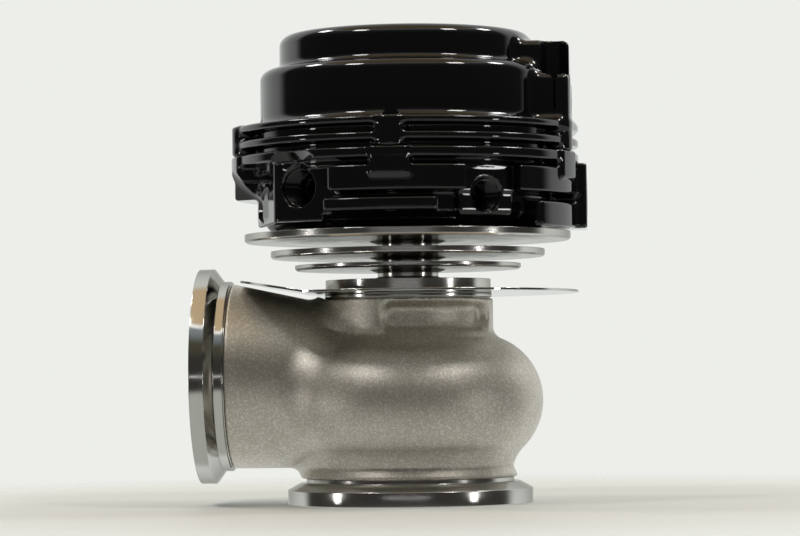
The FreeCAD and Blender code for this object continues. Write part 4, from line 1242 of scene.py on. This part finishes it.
def floor_finish(stage):
    """Plain pale floor that fades out far from the object and isn't reflected in it."""
    graph = Finish("floor", {"Roughness": 0.6, "Base Color": colour(stage.floor_colour)})
    distance = graph.add("ShaderNodeVectorMath", {0: graph.place()}, operation="LENGTH")
    glossy = graph.add("ShaderNodeLightPath").outputs["Is Glossy Ray"]
    fade = graph.math("MAXIMUM", graph.ramp(distance.outputs["Value"], *FLOOR_FADE), glossy)
    clear = graph.add("ShaderNodeBsdfTransparent").outputs[0]
    mixed = graph.add("ShaderNodeMixShader", {0: fade, 1: graph.shader.outputs[0], 2: clear})
    graph.join(mixed.outputs[0], graph.output)


def soft_lamp(name, azimuth, elevation, width, height, power, target):
    """Area lamp on a circle round the object, turned towards a height on the stem."""
    lamp = bpy.data.lights.new(name, "AREA")
    lamp.shape = "RECTANGLE"
    lamp.size, lamp.size_y = width, height
    lamp.energy = power
    lamp.color = LAMP_TINT
    piece = bpy.data.objects.new(name, lamp)
    a, e = math.radians(azimuth), math.radians(elevation)
    offset = Vector((math.sin(a) * math.cos(e), -math.cos(a) * math.cos(e), math.sin(e)))
    offset *= LAMP_DISTANCE
    piece.location = Vector((0, 0, target)) + offset
    piece.rotation_euler = (-offset).to_track_quat("-Z", "Y").to_euler()
    bpy.context.scene.collection.objects.link(piece)


class WASTEGATE_OT_stage(bpy.types.Operator):
    """Sets up the floor, the soft lamps, the world and the camera"""

    bl_idname = "wastegate.stage"
    bl_label = "Stage"

    def execute(self, context):
        scene = context.scene
        stage = scene.wastegate_stage
        scene.view_settings.view_transform = "Standard"
        studio_world(stage)
        floor_finish(stage)
        half = FLOOR_HALF
        corners = [(-half, -half, 0), (half, -half, 0), (half, half, 0), (-half, half, 0)]
        floor = make_object("floor", corners, [(0, 1, 2, 3)])
        floor.data.materials.append(finish_named("floor"))
        azimuth = stage.camera_azimuth
        for name, turn, elevation, width, height, share, target in LAMPS:
            soft_lamp(name, math.degrees(azimuth) + turn, elevation, width, height,
                      share * stage.lamp_power, target)
        camera = bpy.data.cameras.new("camera")
        camera.sensor_width = 36.0
        camera.lens = stage.lens
        camera.clip_start, camera.clip_end = 0.05, 20.0
        holder = bpy.data.objects.new("camera", camera)
        scene.collection.objects.link(holder)
        holder.location = (stage.camera_distance * math.sin(azimuth),
                           -stage.camera_distance * math.cos(azimuth), stage.camera_height)
        turn = Matrix.Rotation(azimuth + stage.camera_pan, 4, "Z")
        turn = turn @ Matrix.Rotation(math.pi / 2 + stage.camera_tilt, 4, "X")
        turn = turn @ Matrix.Rotation(-stage.camera_roll, 4, "Z")
        holder.rotation_euler = turn.to_euler()
        scene.camera = holder
        return {"FINISHED"}


# ---------------------------------------------------------------- panel

OPERATORS = (WASTEGATE_OT_finishes, WASTEGATE_OT_cast_body, WASTEGATE_OT_flanges,
             WASTEGATE_OT_actuator, WASTEGATE_OT_threads, WASTEGATE_OT_springs,
             WASTEGATE_OT_diaphragm, WASTEGATE_OT_stage)
SETTINGS = {
    "wastegate_cast": CastBodySettings,
    "wastegate_actuator": ActuatorSettings,
    "wastegate_turned": TurnedSettings,
    "wastegate_thread": ThreadSettings,
    "wastegate_spring": SpringSettings,
    "wastegate_finish": FinishSettings,
    "wastegate_stage": StageSettings,
}


class WASTEGATE_PT_panel(bpy.types.Panel):
    """Lists the steps that build the wastegate"""

    bl_idname = "WASTEGATE_PT_panel"
    bl_label = "Turbo Wastegate"
    bl_space_type = "VIEW_3D"
    bl_region_type = "UI"
    bl_category = "Wastegate"

    def draw(self, context):
        for operator in OPERATORS:
            self.layout.operator(operator.bl_idname)
        for name in SETTINGS:
            group = getattr(context.scene, name)
            box = self.layout.box()
            for key in group.__annotations__:
                box.prop(group, key)


def register():
    for kind in (*SETTINGS.values(), *OPERATORS, WASTEGATE_PT_panel):
        bpy.utils.register_class(kind)
    for name, group in SETTINGS.items():
        setattr(bpy.types.Scene, name, bpy.props.PointerProperty(type=group))


def unregister():
    for name in SETTINGS:
        delattr(bpy.types.Scene, name)
    for kind in (WASTEGATE_PT_panel, *OPERATORS, *SETTINGS.values()):
        bpy.utils.unregister_class(kind)


def main():
    register()
    for step in ("finishes", "cast_body", "flanges", "actuator", "threads", "springs",
                 "diaphragm", "stage"):
        getattr(bpy.ops.wastegate, step)()


if __name__ == "__main__":
    main()
